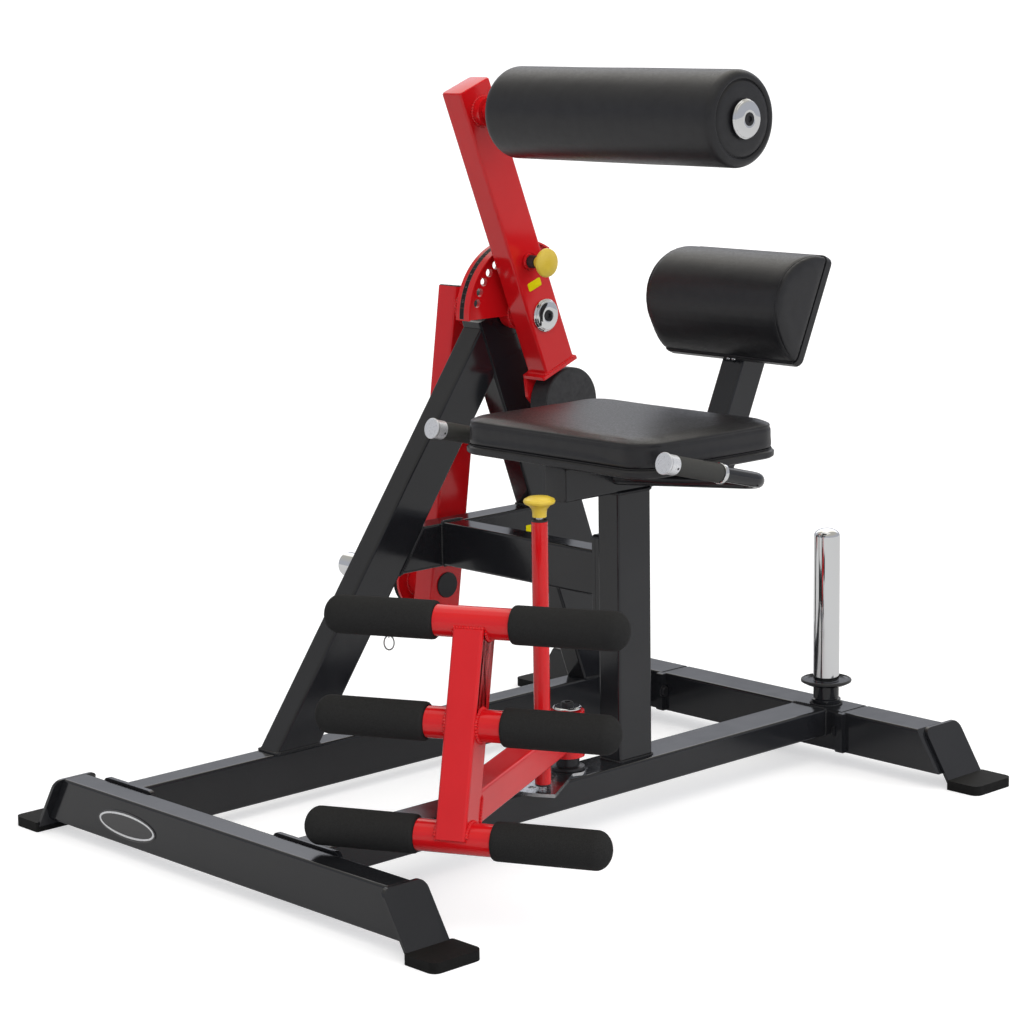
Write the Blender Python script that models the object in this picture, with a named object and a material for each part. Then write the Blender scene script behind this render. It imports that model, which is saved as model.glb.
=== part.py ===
# Ab and back machine: a plate-loaded strength machine, built as separate closed bodies.
# Metres, Z up, floor at Z = 0. The front is -Y. Right and left are as seen from the front: right is +X.
# Measurements are written from the middle between the four feet. At the end every piece is moved
# sideways by one amount, so that the origin lies below the centre of the whole machine.

import bpy
import bmesh
from math import sin, cos, tan, radians, pi, hypot
from mathutils import Matrix, Vector

# Fits
GAP = 0.0003            # between pieces that touch
PLAY = 0.0004           # around turning and sliding pieces

# Square tubes
TUBE = 0.050            # narrow side
DEEP = 0.080            # wide side of the frame tubes
ARM_DEEP = 0.075        # wide side of the arm and lever tubes
CORNER = 0.005          # outer corner radius
PLATE = 0.008           # joint flanges

# Base
TOP = 0.1015            # top of all base tubes
HALF_LENGTH = 0.6885    # from the middle to the ends of the shoes
FRONT_SET = 0.0195      # front crossmember behind the ends of the shoes
REAR_SET = 0.1135       # rear crossmember ahead of the ends of the shoes
FRONT_FACE = -HALF_LENGTH + FRONT_SET
REAR_FACE = HALF_LENGTH - REAR_SET
REAR_SIZE = 0.075
PLATE_TOP_X = 0.4245    # outer face of the foot plates at the top
PLATE_LOW_X = 0.4775    # and at the top of the shoe
SHOE_TOP = 0.017
SHOE_OUT = 0.5435
SHOE_IN = 0.4755
FOOT_PLATE = 0.006
SHOE_EDGE = 0.0045      # shoe beyond the plate at its outer end
FRONT_PLATE_WIDE = 0.086
FRONT_SHOE_EDGE = 0.007 # and at its inner end
REAR_PLATE_WIDE = 0.094
REAR_SHOE_EDGE = 0.0035
REAR_LEFT_MORE = 0.0935 # rear foot on the lever's side, further out than the others
LEFT_RAIL = -0.303      # middle of the upright rail
RIGHT_RAIL = 0.167      # middle of the flat rail
LEFT_FLANGE = (-0.372, -0.234)
RIGHT_FLANGE = (0.085, 0.249)
FLANGE_RISE = 0.004     # front flanges above the tubes
FLANGE_CLEAR = 0.005    # and their lower edge above the underside of the tubes
JOINT_LEFT = -0.2065    # bolted joints in the rear crossmember
JOINT_RIGHT = 0.2446

# A-frame and pivot
PIVOT_Y = 0.249
PIVOT_Z = 0.826
HOUSING_R = 0.045
SHAFT_R = 0.016

# Seat side
POST_Y = 0.0935
POST_TOP = 0.569
SEAT_TUBE_TOP = 0.6285
SEAT_X = 0.160          # middle of the seat
SEAT_Y = 0.0895
SEAT_HALF_X = 0.2237
SEAT_HALF_Y = 0.1724
SEAT_CORNER = 0.050
BOARD = 0.0139          # plywood under the cushions, with its cover
SEAT_HIGH = 0.0545
BACK_LEAN = radians(24.5)
BACK_CHORD = 0.1945
BACK_DEEP = 0.0965
BACK_X = 0.1705         # middle of the back cushion
BACK_HALF = 0.1565
BACK_Y = 0.353          # lower end of the back cushion's flat side
BACK_Z = 0.770

# Exercise arm, sector and lever
ARM_LEAN = radians(21.34)
ARM_NEAR = -0.182
ARM_UP = 0.4445
ARM_DOWN = 0.102
AXLE_UP = 0.3975
PAD_FAR = -0.1006
PAD_NEAR = 0.4294
PAD_R = 0.0787
HOLE_R = 0.1075         # circle of the index holes
HOLE_STEP = radians(11)
SECTOR_R = 0.133
RIM_THICK = 0.003
SECTOR_NEAR = -0.240
SECTOR_FAR = -0.2745
WEB_NEAR = -0.249
LEVER_NEAR = -0.385
LEVER_LEAN = radians(7.64)
LEVER_DOWN = 0.570
HORN_DOWN = 0.520
HORN_END = -0.679
HORN_R = 0.024
WEIGHT_R = 0.0650
WEIGHT_DOWN = 0.1790

# Footrest
TURN = radians(27)
SPIN_X = 0.167
SPIN_Y = -0.047
SPINDLE_R = 0.012
REST_L = 0.4790         # from the spindle to the post's middle line at REST_MID
REST_MID = 0.304
REST_SLOPE = 0.308
ROLLERS = (0.1415, 0.3057, 0.4546)
FOAM_R = 0.0305
FOAM_IN = 0.062
FOAM_OUT = 0.2477
DOME = 0.024            # length of the foam's rounded end
PIN_L = 0.128
PIN_TUBE_R = 0.0135
PIN_LOW = 0.117
PIN_HIGH = 0.556

# Storage horn
STORE_X = 0.178
STORE_SET = 0.034       # behind the front face of the rear crossmember
STORE_TOP = 0.4305
STORE_DOME = 0.0145

X = Vector((1, 0, 0))
Y = Vector((0, 1, 0))
Z = Vector((0, 0, 1))

for old in list(bpy.data.objects):
    bpy.data.objects.remove(old, do_unlink=True)
collection = bpy.context.scene.collection
pieces = []

FINISHES = {
    "black": ((0.022, 0.022, 0.025), 0.0, 0.32),
    "red": ((0.55, 0.008, 0.010), 0.0, 0.28),
    "vinyl": ((0.030, 0.030, 0.033), 0.0, 0.50),
    "foam": ((0.022, 0.022, 0.022), 0.0, 0.85),
    "rubber": ((0.020, 0.020, 0.021), 0.0, 0.75),
    "chrome": ((0.80, 0.80, 0.82), 1.0, 0.12),
    "alloy": ((0.62, 0.62, 0.64), 1.0, 0.38),
    "zinc": ((0.52, 0.52, 0.54), 1.0, 0.42),
    "yellow": ((0.80, 0.50, 0.05), 0.0, 0.38),
    "iron": ((0.045, 0.045, 0.048), 0.0, 0.55),
}


# Building blocks

def make(bm, name="work"):
    bmesh.ops.remove_doubles(bm, verts=bm.verts, dist=1e-6)
    bmesh.ops.recalc_face_normals(bm, faces=bm.faces)
    mesh = bpy.data.meshes.new(name)
    bm.to_mesh(mesh)
    bm.free()
    body = bpy.data.objects.new(name, mesh)
    collection.objects.link(body)
    return body


def rounded(w, h, r, corner=3, side=1):
    """Rounded rectangle about the middle, anticlockwise."""
    points = []
    for k, (cx, cy) in enumerate([(1, 1), (-1, 1), (-1, -1), (1, -1)]):
        mx = cx * (w / 2 - r)
        my = cy * (h / 2 - r)
        for i in range(corner + 1):
            a = pi / 2 * (k + i / corner)
            points.append((mx + r * cos(a), my + r * sin(a)))
        nx, ny = [(-1, 1), (-1, -1), (1, -1), (1, 1)][k]
        a = pi / 2 * (k + 1)
        x0, y0 = points[-1]
        x1 = nx * (w / 2 - r) + r * cos(a)
        y1 = ny * (h / 2 - r) + r * sin(a)
        for i in range(1, side):
            points.append((x0 + (x1 - x0) * i / side, y0 + (y1 - y0) * i / side))
    return points


def circle(r, n=32):
    return [(r * cos(2 * pi * i / n), r * sin(2 * pi * i / n)) for i in range(n)]


def bar(outline, base, u, v, along, start, end):
    """Outline in the plane of u and v, drawn along a direction between two cutting planes.
    A plane is a number, the distance along, or a pair of a point and a normal."""
    bm = bmesh.new()
    base, u, v, along = Vector(base), Vector(u), Vector(v), Vector(along).normalized()

    def cut(p, plane):
        if isinstance(plane, (int, float)):
            return p + along * plane
        point, normal = Vector(plane[0]), Vector(plane[1])
        return p + along * ((point - p).dot(normal) / along.dot(normal))

    low = []
    high = []
    for a, b in outline:
        p = base + u * a + v * b
        low.append(bm.verts.new(cut(p, start)))
        high.append(bm.verts.new(cut(p, end)))
    n = len(outline)
    bm.faces.new(low)
    bm.faces.new(high)
    for i in range(n):
        j = (i + 1) % n
        bm.faces.new((low[i], low[j], high[j], high[i]))
    return make(bm)


def box(x0, x1, y0, y1, z0, z1, r=0.0, corner=3):
    """Upright block, with rounded upright edges when r is given."""
    w, d = x1 - x0, y1 - y0
    outline = rounded(w, d, r, corner) if r else [(w / 2, d / 2), (-w / 2, d / 2),
                                                 (-w / 2, -d / 2), (w / 2, -d / 2)]
    return bar(outline, ((x0 + x1) / 2, (y0 + y1) / 2, 0), X, Y, Z, z0, z1)


def frame_of(axis):
    axis = Vector(axis).normalized()
    side = Z if abs(axis.z) < 0.9 else X
    u = side.cross(axis).normalized()
    return u, axis.cross(u), axis


def lathe(profile, origin, axis, n=32):
    """Turned body. Profile points are (radius, distance along the axis)."""
    bm = bmesh.new()
    u, v, w = frame_of(axis)
    origin = Vector(origin)
    rings = []
    for r, h in profile:
        if r < 1e-7:
            rings.append([bm.verts.new(origin + w * h)])
        else:
            rings.append([bm.verts.new(origin + w * h + u * (r * cos(2 * pi * i / n))
                                       + v * (r * sin(2 * pi * i / n))) for i in range(n)])
    closed = len(rings[0]) > 1
    pairs = list(zip(rings, rings[1:]))
    if closed:
        pairs.append((rings[-1], rings[0]))
    for one, two in pairs:
        for i in range(n):
            j = (i + 1) % n
            if len(one) == 1 and len(two) > 1:
                bm.faces.new((one[0], two[i], two[j]))
            elif len(two) == 1 and len(one) > 1:
                bm.faces.new((one[i], one[j], two[0]))
            elif len(one) > 1:
                bm.faces.new((one[i], one[j], two[j], two[i]))
    return make(bm)


def rod(r, p0, p1, n=32, edge=0.0):
    """Round bar between two points, with small bevelled ends."""
    p0, p1 = Vector(p0), Vector(p1)
    long = (p1 - p0).length
    profile = [(0, 0), (r - edge, 0)]
    if edge:
        profile += [(r, edge), (r, long - edge)]
    profile += [(r - edge, long), (0, long)]
    if not edge:
        profile = [(0, 0), (r, 0), (r, long), (0, long)]
    return lathe(profile, p0, p1 - p0, n)


def pipe(path, r, n=20):
    """Round bar along a path of points."""
    bm = bmesh.new()
    path = [Vector(p) for p in path]
    rings = []
    u = None
    for k, p in enumerate(path):
        before = path[max(k - 1, 0)]
        after = path[min(k + 1, len(path) - 1)]
        t = (after - before).normalized()
        if u is None:
            u = frame_of(t)[0]
        u = (u - t * u.dot(t)).normalized()
        v = t.cross(u)
        rings.append([bm.verts.new(p + u * (r * cos(2 * pi * i / n)) + v * (r * sin(2 * pi * i / n)))
                      for i in range(n)])
    bm.faces.new(rings[0])
    bm.faces.new(rings[-1])
    for one, two in zip(rings, rings[1:]):
        for i in range(n):
            j = (i + 1) % n
            bm.faces.new((one[i], one[j], two[j], two[i]))
    return make(bm)


def rings_body(rings):
    """Closed body from rings with equal counts, capped at both ends."""
    bm = bmesh.new()
    made = [[bm.verts.new(p) for p in ring] for ring in rings]
    n = len(made[0])
    bm.faces.new(made[0])
    bm.faces.new(made[-1])
    for one, two in zip(made, made[1:]):
        for i in range(n):
            j = (i + 1) % n
            bm.faces.new((one[i], one[j], two[j], two[i]))
    return make(bm)


def combine(body, tools, operation):
    for tool in tools:
        mod = body.modifiers.new("join", "BOOLEAN")
        mod.object = tool
        mod.operation = operation
        mod.solver = "EXACT"
    bpy.context.view_layer.update()
    graph = bpy.context.evaluated_depsgraph_get()
    mesh = bpy.data.meshes.new_from_object(body.evaluated_get(graph))
    body.modifiers.clear()
    body.data = mesh
    for tool in tools:
        bpy.data.objects.remove(tool, do_unlink=True)
    bm = bmesh.new()
    bm.from_mesh(mesh)
    bmesh.ops.remove_doubles(bm, verts=bm.verts, dist=0.00002)
    bmesh.ops.dissolve_limit(bm, angle_limit=radians(0.2), verts=bm.verts, edges=bm.edges)
    bm.to_mesh(mesh)
    bm.free()
    return body


def union(body, *tools):
    return combine(body, list(tools), "UNION")


def subtract(body, *tools):
    return combine(body, list(tools), "DIFFERENCE")


def node(name, body, finish, origin=(0, 0, 0)):
    """Name a body, give it its material and set its origin."""
    body.name = name
    body.data.name = name
    colour, metallic, rough = FINISHES[finish]
    material = bpy.data.materials.new(name)
    material.use_nodes = True
    shader = material.node_tree.nodes["Principled BSDF"]
    shader.inputs["Base Color"].default_value = (*colour, 1)
    shader.inputs["Metallic"].default_value = metallic
    shader.inputs["Roughness"].default_value = rough
    body.data.materials.clear()
    body.data.materials.append(material)
    origin = Vector(origin)
    body.data.transform(Matrix.Translation(-origin))
    body.location = origin
    pieces.append(body)
    body.data.shade_smooth()
    body.data.set_sharp_from_angle(angle=radians(38))
    return body


# Base

PLATE_SLOPE = (PLATE_LOW_X - PLATE_TOP_X) / (TOP - SHOE_TOP)
PLATE_WALL = FOOT_PLATE * hypot(1, PLATE_SLOPE)
END_NORMAL = Vector((1, 0, PLATE_SLOPE)).normalized()


def end_cut(side, more=0.0):
    """Slanted plane on which a base tube meets its foot plate."""
    point = (side * (PLATE_TOP_X + more - PLATE_WALL - GAP), 0, TOP)
    return point, (side * END_NORMAL.x, 0, END_NORMAL.z)


front = bar(rounded(TUBE, DEEP, CORNER), (0, FRONT_FACE + TUBE / 2, TOP - DEEP / 2), Y, Z, X,
            end_cut(-1), end_cut(1))
node("front_crossmember", front, "black")

REAR_MID = REAR_FACE + REAR_SIZE / 2
REAR_BOTTOM = TOP - REAR_SIZE


def rear_bar(start, end):
    return bar(rounded(REAR_SIZE, REAR_SIZE, CORNER), (0, REAR_MID, TOP - REAR_SIZE / 2), Y, Z, X,
               start, end)


EAR = 0.010


def joint_flange(x0, x1):
    """Flange plate across a rear bar: an ear for the bolts in front, just inside the tube elsewhere."""
    return bar(rounded(REAR_SIZE + EAR - 0.001, REAR_SIZE - 0.002, 0.004),
               (0, REAR_MID - (EAR + 0.001) / 2, TOP - REAR_SIZE / 2), Y, Z, X, x0, x1)


left_end = union(rear_bar(end_cut(-1, REAR_LEFT_MORE), JOINT_LEFT - GAP / 2 - PLATE / 2),
                 joint_flange(JOINT_LEFT - GAP / 2 - PLATE, JOINT_LEFT - GAP / 2))
node("rear_foot_bar_left", left_end, "black")
middle = union(rear_bar(JOINT_LEFT + GAP / 2 + PLATE / 2, JOINT_RIGHT - GAP / 2 - PLATE / 2),
               joint_flange(JOINT_LEFT + GAP / 2, JOINT_LEFT + GAP / 2 + PLATE),
               joint_flange(JOINT_RIGHT - GAP / 2 - PLATE, JOINT_RIGHT - GAP / 2))
node("rear_crossmember", middle, "black")
right_end = union(rear_bar(JOINT_RIGHT + GAP / 2 + PLATE / 2, end_cut(1)),
                  joint_flange(JOINT_RIGHT + GAP / 2, JOINT_RIGHT + GAP / 2 + PLATE))
node("rear_foot_bar_right", right_end, "black")


def rail(x, wide, deep, flange):
    """Long rail with its front flange plate."""
    back = FRONT_FACE + TUBE + GAP
    tube = bar(rounded(wide, deep, CORNER), (x, 0, TOP - deep / 2), X, Z, Y,
               back + PLATE / 2, REAR_FACE - GAP)
    low = TOP - DEEP + FLANGE_CLEAR
    high = TOP + FLANGE_RISE
    flange = bar(rounded(flange[1] - flange[0], high - low, 0.012),
                 ((flange[0] + flange[1]) / 2, 0, (low + high) / 2), X, Z, Y, back, back + PLATE)
    return union(tube, flange)


node("left_rail", rail(LEFT_RAIL, TUBE, DEEP, LEFT_FLANGE), "black")
node("right_rail", rail(RIGHT_RAIL, DEEP, TUBE, RIGHT_FLANGE), "black")


def foot(side, y0, y1, shoe_y0, shoe_y1, label, more=0.0):
    """Slanted plate with an outward toe, and the rubber shoe around the toe."""
    toe_low = 0.0055
    toe_high = toe_low + FOOT_PLATE
    toe = SHOE_OUT + more - 0.009

    def outer(z):
        return PLATE_TOP_X + more + (TOP - z) * PLATE_SLOPE

    def profile(grow):
        up = 0.02 if grow else 0.0
        return [(outer(TOP + up) + grow, TOP + up), (outer(toe_high) + grow, toe_high + grow),
                (toe + grow, toe_high + grow), (toe + grow, toe_low - grow),
                (outer(toe_low) - PLATE_WALL - grow, toe_low - grow),
                (outer(TOP + up) - PLATE_WALL - grow, TOP + up)]

    flat = bar([(side * a, b) for a, b in profile(0)], (0, 0, 0), X, Z, Y, y0, y1)
    mid = (y0 + y1) / 2
    wide = y1 - y0
    r = 0.014
    shape = [(wide / 2, -0.01), (wide / 2, TOP - r)]
    shape += [(wide / 2 - r + r * cos(a), TOP - r + r * sin(a)) for a in
              [pi / 2 * i / 5 for i in range(1, 6)]]
    shape += [(-wide / 2 + r - r * cos(a), TOP - r + r * sin(a)) for a in
              [pi / 2 * (1 - i / 5) for i in range(0, 5)]]
    shape += [(-wide / 2, TOP - r), (-wide / 2, -0.01)]
    trim = bar(shape, (side * 0.3, mid, 0), Y, Z, X * side, 0, 0.4)
    plate = combine(flat, [trim], "INTERSECT")
    node("foot_plate_" + label, plate, "black")

    length = SHOE_OUT - SHOE_IN
    width = shoe_y1 - shoe_y0
    big = 0.014
    small = 0.004
    corners = [(1, 1, big), (-1, 1, small), (-1, -1, small), (1, -1, big)]
    around = []
    for k, (sx, sy, cr) in enumerate(corners):
        for i in range(5):
            a = pi / 2 * (k + i / 4)
            around.append((sx * (length / 2 - cr) + cr * cos(a), sy * (width / 2 - cr) + cr * sin(a)))
    base = (side * (more + (SHOE_IN + SHOE_OUT) / 2), (shoe_y0 + shoe_y1) / 2, 0)
    shoe = bar(around, base, X * side, Y, Z, 0, SHOE_TOP)
    slot = bar([(side * a, b) for a, b in profile(GAP)], (0, 0, 0), X, Z, Y, y0 - GAP, y1 + GAP)
    node("rubber_foot_" + label, subtract(shoe, slot), "rubber")


for side, name in ((1, "right"), (-1, "left")):
    plate_from = -HALF_LENGTH + SHOE_EDGE
    plate_to = plate_from + FRONT_PLATE_WIDE
    foot(side, plate_from, plate_to, -HALF_LENGTH, plate_to + FRONT_SHOE_EDGE, "front_" + name)
    plate_to = HALF_LENGTH - SHOE_EDGE
    plate_from = plate_to - REAR_PLATE_WIDE
    foot(side, plate_from, plate_to, plate_from - REAR_SHOE_EDGE, HALF_LENGTH, "rear_" + name,
         REAR_LEFT_MORE if side < 0 else 0.0)


# A-frame

FRONT_LOW = Vector((0, -0.321, 0.101))
FRONT_HIGH = Vector((0, 0.178, 0.798))
front_dir = (FRONT_HIGH - FRONT_LOW).normalized()
front_out = Vector((0, front_dir.z, -front_dir.y))
REAR_HIGH = Vector((0, 0.1944, 0.760))
REAR_LOW = Vector((0, 0.4386, 0.0925))
REAR_DEEP = 0.120
FRONT_LEG_TOP = 0.803
SIDE_BRACE_Z = 0.4155
rear_dir = (REAR_HIGH - REAR_LOW).normalized()
rear_out = Vector((0, rear_dir.z, -rear_dir.y))
FLOOR_CUT = ((0, 0, TOP + GAP), (0, 0, 1))

front_leg = bar(rounded(TUBE, DEEP, CORNER), FRONT_LOW + front_out * DEEP / 2 + X * LEFT_RAIL,
                X, front_out, front_dir, FLOOR_CUT,
                (REAR_HIGH - rear_out * GAP, rear_out))
top_trim = box(LEFT_RAIL - TUBE, LEFT_RAIL + TUBE, FRONT_LOW.y, PIVOT_Y, FRONT_LEG_TOP, 2 * FRONT_LEG_TOP)
node("a_frame_front_leg", subtract(front_leg, top_trim), "black")

rear_leg = bar(rounded(TUBE, REAR_DEEP, CORNER), REAR_LOW + rear_out * REAR_DEEP / 2 + X * LEFT_RAIL,
               X, rear_out, rear_dir, FLOOR_CUT, ((0, PIVOT_Y, PIVOT_Z + 0.012), rear_dir))
saddle = rod(HOUSING_R + GAP, (LEFT_RAIL - 0.1, PIVOT_Y, PIVOT_Z), (LEFT_RAIL + 0.1, PIVOT_Y, PIVOT_Z), 40)
node("a_frame_rear_leg", subtract(rear_leg, saddle), "black")

front_back = FRONT_LOW + front_out * (DEEP + GAP)
rear_front = REAR_LOW - rear_out * GAP
side_brace = bar(rounded(TUBE, DEEP, CORNER), (LEFT_RAIL, 0, SIDE_BRACE_Z), X, Z, Y,
                 (front_back, front_out), (rear_front, rear_out))
node("side_brace", side_brace, "black")

LEFT_FACE = LEFT_RAIL + TUBE / 2
POST_LEFT = RIGHT_RAIL - TUBE / 2
BRACE_Y = 0.0996
BRACE_Z = 0.418
POST_PAD = 0.0075
brace_end = POST_LEFT - POST_PAD - GAP
cross = bar(rounded(TUBE, DEEP, CORNER), (0, BRACE_Y, BRACE_Z), Y, Z, X, LEFT_FACE + GAP,
            brace_end - PLATE / 2)
brace_flange = bar(rounded(0.088, 0.145, 0.006), (0, BRACE_Y, BRACE_Z), Y, Z, X, brace_end - PLATE,
                   brace_end)
node("cross_brace", union(cross, brace_flange), "black")

housing = lathe([(SHAFT_R + PLAY, -0.352), (HOUSING_R - 0.001, -0.352), (HOUSING_R, -0.351),
                 (HOUSING_R, -0.2785), (SHAFT_R + PLAY, -0.2785)], (0, PIVOT_Y, PIVOT_Z), X, 40)
node("bearing_housing", housing, "black")


# Seat side

post = bar(rounded(TUBE, DEEP, CORNER), (RIGHT_RAIL, POST_Y, 0), X, Y, Z, TOP + GAP, POST_TOP)
post_pad = bar(rounded(0.088, 0.145, 0.006), (0, BRACE_Y, BRACE_Z), Y, Z, X, POST_LEFT - POST_PAD,
               POST_LEFT + 0.004)
node("seat_post", union(post, post_pad), "black")

SLEEVE_FRONT = -0.067
SLEEVE_REAR = 0.153
tube_low = POST_TOP + GAP
tube_mid = (tube_low + SEAT_TUBE_TOP) / 2
tube_high = SEAT_TUBE_TOP - tube_low
seat_tube = bar(rounded(TUBE, tube_high, CORNER), (RIGHT_RAIL, 0, tube_mid), X, Z, Y,
                SLEEVE_FRONT, SLEEVE_REAR)
node("seat_tube", seat_tube, "black")

# The back support runs level out of the seat tube, then leans back behind the cushion.
lean_up = Vector((0, sin(BACK_LEAN), cos(BACK_LEAN)))
lean_out = Vector((0, cos(BACK_LEAN), -sin(BACK_LEAN)))
board_low = Vector((0, BACK_Y, BACK_Z))
tube_front = board_low + lean_out * (BOARD + 2 * GAP)
half = tube_high / 2
lean_mid = tube_front + lean_out * half
bend_y = lean_mid.y + (tube_mid - lean_mid.z) * lean_up.y / lean_up.z
bend = Vector((RIGHT_RAIL, bend_y, tube_mid))
support_start = Vector((RIGHT_RAIL, SLEEVE_REAR + GAP, tube_mid))
support_end = bend + lean_up * (tube_front + lean_up * 0.130 - bend).dot(lean_up)
mitre_up = (Z - lean_out).normalized() / cos(radians(45) - BACK_LEAN / 2)
support = [[spot + X * a + up * b for a, b in rounded(TUBE, tube_high, CORNER)] for spot, up in
           ((support_start, Z), (bend, mitre_up), (support_end, -lean_out))]
node("back_support_tube", rings_body(support), "black")


def cushion_rings(half_x, half_y, r, steps, z0):
    """Rings of a cushion from bottom to top. Each step is (inset, height)."""
    rings = []
    for inset, up in steps:
        outline = rounded(2 * (half_x - inset), 2 * (half_y - inset), max(r - inset, 0.012), 6, 4)
        rings.append([(SEAT_X + a, SEAT_Y + b, z0 + up) for a, b in outline])
    return rings


SEAT_LOW = SEAT_TUBE_TOP + GAP
board_steps = [(0.004, 0), (0.0, 0.003), (0.0, BOARD - 0.003), (0.004, BOARD)]
board = rings_body(cushion_rings(SEAT_HALF_X, SEAT_HALF_Y, SEAT_CORNER, board_steps, SEAT_LOW))
node("seat_board", board, "vinyl")

seat_steps = [(0.016, 0), (0.006, 0.0004), (0.0035, 0.003), (0.002, 0.010), (0.0, 0.020),
              (0.0005, 0.031), (0.003, 0.0375), (0.0055, 0.0395), (0.007, 0.043), (0.012, 0.0465),
              (0.024, 0.0495), (0.045, 0.0520), (0.080, 0.0535), (0.120, SEAT_HIGH - 0.0003),
              (0.148, SEAT_HIGH)]
seat = rings_body(cushion_rings(SEAT_HALF_X - 0.001, SEAT_HALF_Y - 0.001, SEAT_CORNER, seat_steps,
                                SEAT_LOW + BOARD + GAP))
node("seat_cushion", seat, "vinyl")

# Back cushion: half round section with a flat back, ends softened.
# Above 1 the section is more pointed than an ellipse. It is fuller above the nose than below it.
BACK_POINT_LOW = 1.6
BACK_POINT_HIGH = 1.2


def back_section(shrink, count=26, back=6):
    middle = BACK_CHORD / 2
    a = middle - shrink
    b = BACK_DEEP - shrink
    low = GAP + 0.4 * shrink
    points = []
    for i in range(count + 1):
        t = pi * i / count
        power = BACK_POINT_LOW if 2 * i < count else BACK_POINT_HIGH
        points.append((middle - a * cos(t), low + (b - low) * max(sin(t), 0) ** power))
    for i in range(1, back):
        points.append((middle + a - 2 * a * i / back, low))
    return points


def back_ring(x, shrink):
    return [tuple(Vector((x, BACK_Y, BACK_Z)) + lean_up * t - lean_out * d)
            for t, d in back_section(shrink)]


ends = [(0.0, 0.030), (0.0008, 0.012), (0.0022, 0.0045), (0.006, 0.0015), (0.014, 0.0)]
x_low, x_high = BACK_X - BACK_HALF, BACK_X + BACK_HALF
back_rings = [back_ring(x_low + dx, s) for dx, s in ends]
back_rings += [back_ring(BACK_X + BACK_HALF * f, 0.0) for f in (-0.6, -0.2, 0.2, 0.6)]
back_rings += [back_ring(x_high - dx, s) for dx, s in reversed(ends)]
node("back_cushion", rings_body(back_rings), "vinyl")

back_board = bar(rounded(2 * BACK_HALF, BACK_CHORD + 0.004, 0.014, 5),
                 board_low + X * BACK_X + lean_up * (BACK_CHORD / 2), X, lean_up, lean_out,
                 GAP / 2, BOARD)
node("back_board", back_board, "vinyl")


# Handles

HANDLE_R = 0.0125
GRIP_R = 0.0158
HANDLE_X = 0.2745
CAP = Vector((0, -0.089, 0.6655))
GRIP_START = 0.0167       # from the cap, along the handle
GRIP_END = 0.123
HANDLE_SLOPE = tan(radians(14))
BEND_Y = 0.155
BEND_R = 0.030
ENTRY = Vector((TUBE / 2 - 0.010, 0.050, 0.5965))


def handle(side, label):
    """Hairpin tube from the grip's front end back and in to the seat tube, grip and end cap."""
    def at(y):
        return Vector((RIGHT_RAIL + side * HANDLE_X, y, CAP.z - (y - CAP.y) * HANDLE_SLOPE))

    start = at(CAP.y + 0.006)
    knee = at(BEND_Y)
    entry = Vector((RIGHT_RAIL + side * ENTRY.x, ENTRY.y, ENTRY.z))
    d0 = (knee - start).normalized()
    d1 = (entry - knee).normalized()
    turn = d0.angle(d1)
    cut = BEND_R * tan(turn / 2)
    p0 = knee - d0 * cut
    p1 = knee + d1 * cut
    inward = ((d1 - d0).normalized())
    centre = knee + inward * (BEND_R / cos(turn / 2))
    path = [start]
    steps = 9
    e0 = (p0 - centre).normalized()
    e1 = (p1 - centre).normalized()
    for i in range(steps + 1):
        f = i / steps
        path.append(centre + (e0 * sin((1 - f) * turn) + e1 * sin(f * turn)) * (BEND_R / sin(turn)))
    path.append(entry)
    clear = box(RIGHT_RAIL - TUBE / 2 - GAP, RIGHT_RAIL + TUBE / 2 + GAP, SLEEVE_FRONT, SLEEVE_REAR,
                tube_low, SEAT_TUBE_TOP)
    node("handle_tube_" + label, subtract(pipe(path, HANDLE_R, 20), clear), "black")

    axis = d0
    soft = 0.002
    grip = lathe([(HANDLE_R + GAP, GRIP_START), (GRIP_R - soft, GRIP_START), (GRIP_R, GRIP_START + soft),
                  (GRIP_R, GRIP_END - soft), (GRIP_R - soft, GRIP_END), (HANDLE_R + GAP, GRIP_END)],
                 at(CAP.y), axis, 28)
    node("handle_grip_" + label, grip, "foam")
    skirt = GRIP_START - GAP
    cap = lathe([(0, -0.008), (0.0172, -0.008), (0.018, -0.0072), (0.018, -0.0048), (0.0153, -0.0048),
                 (0.0153, -0.0035), (0.0163, -0.0035), (0.0163, skirt), (HANDLE_R + GAP, skirt),
                 (HANDLE_R + GAP, 0.0055), (0, 0.0055)], at(CAP.y), axis, 32)
    node("handle_cap_" + label, cap, "alloy")


handle(1, "right")
handle(-1, "left")


# Storage horn

store = (STORE_X, REAR_FACE + STORE_SET, 0)
base_profile = [(0, TOP + GAP), (0.0265, TOP + GAP), (0.0270, TOP + 0.010), (0.0235, TOP + 0.012),
                (0.0235, 0.1375), (0.036, 0.1385), (0.0445, 0.1430), (0.0450, 0.1480),
                (0.043, 0.1480), (0.036, 0.1450), (0, 0.1450)]
node("storage_horn_base", lathe(base_profile, store, Z, 40), "black")
chrome_low = 0.1450 + GAP
horn_dome = [(HORN_R * cos(pi / 12 * i), STORE_TOP - STORE_DOME * (1 - sin(pi / 12 * i)))
             for i in range(6)]
node("storage_horn", lathe([(0, chrome_low), (HORN_R, chrome_low)] + horn_dome + [(0, STORE_TOP)],
                           store, Z, 40), "chrome")


# Pivot group

PIVOT = Vector((0, PIVOT_Y, PIVOT_Z))
ARM_FAR = ARM_NEAR - TUBE
arm_up = Vector((0, -sin(ARM_LEAN), cos(ARM_LEAN)))
arm_back = Vector((0, cos(ARM_LEAN), sin(ARM_LEAN)))
lever_up = Vector((0, sin(LEVER_LEAN), cos(LEVER_LEAN)))
lever_back = Vector((0, cos(LEVER_LEAN), -sin(LEVER_LEAN)))
LEVER_FAR = LEVER_NEAR - TUBE

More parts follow.
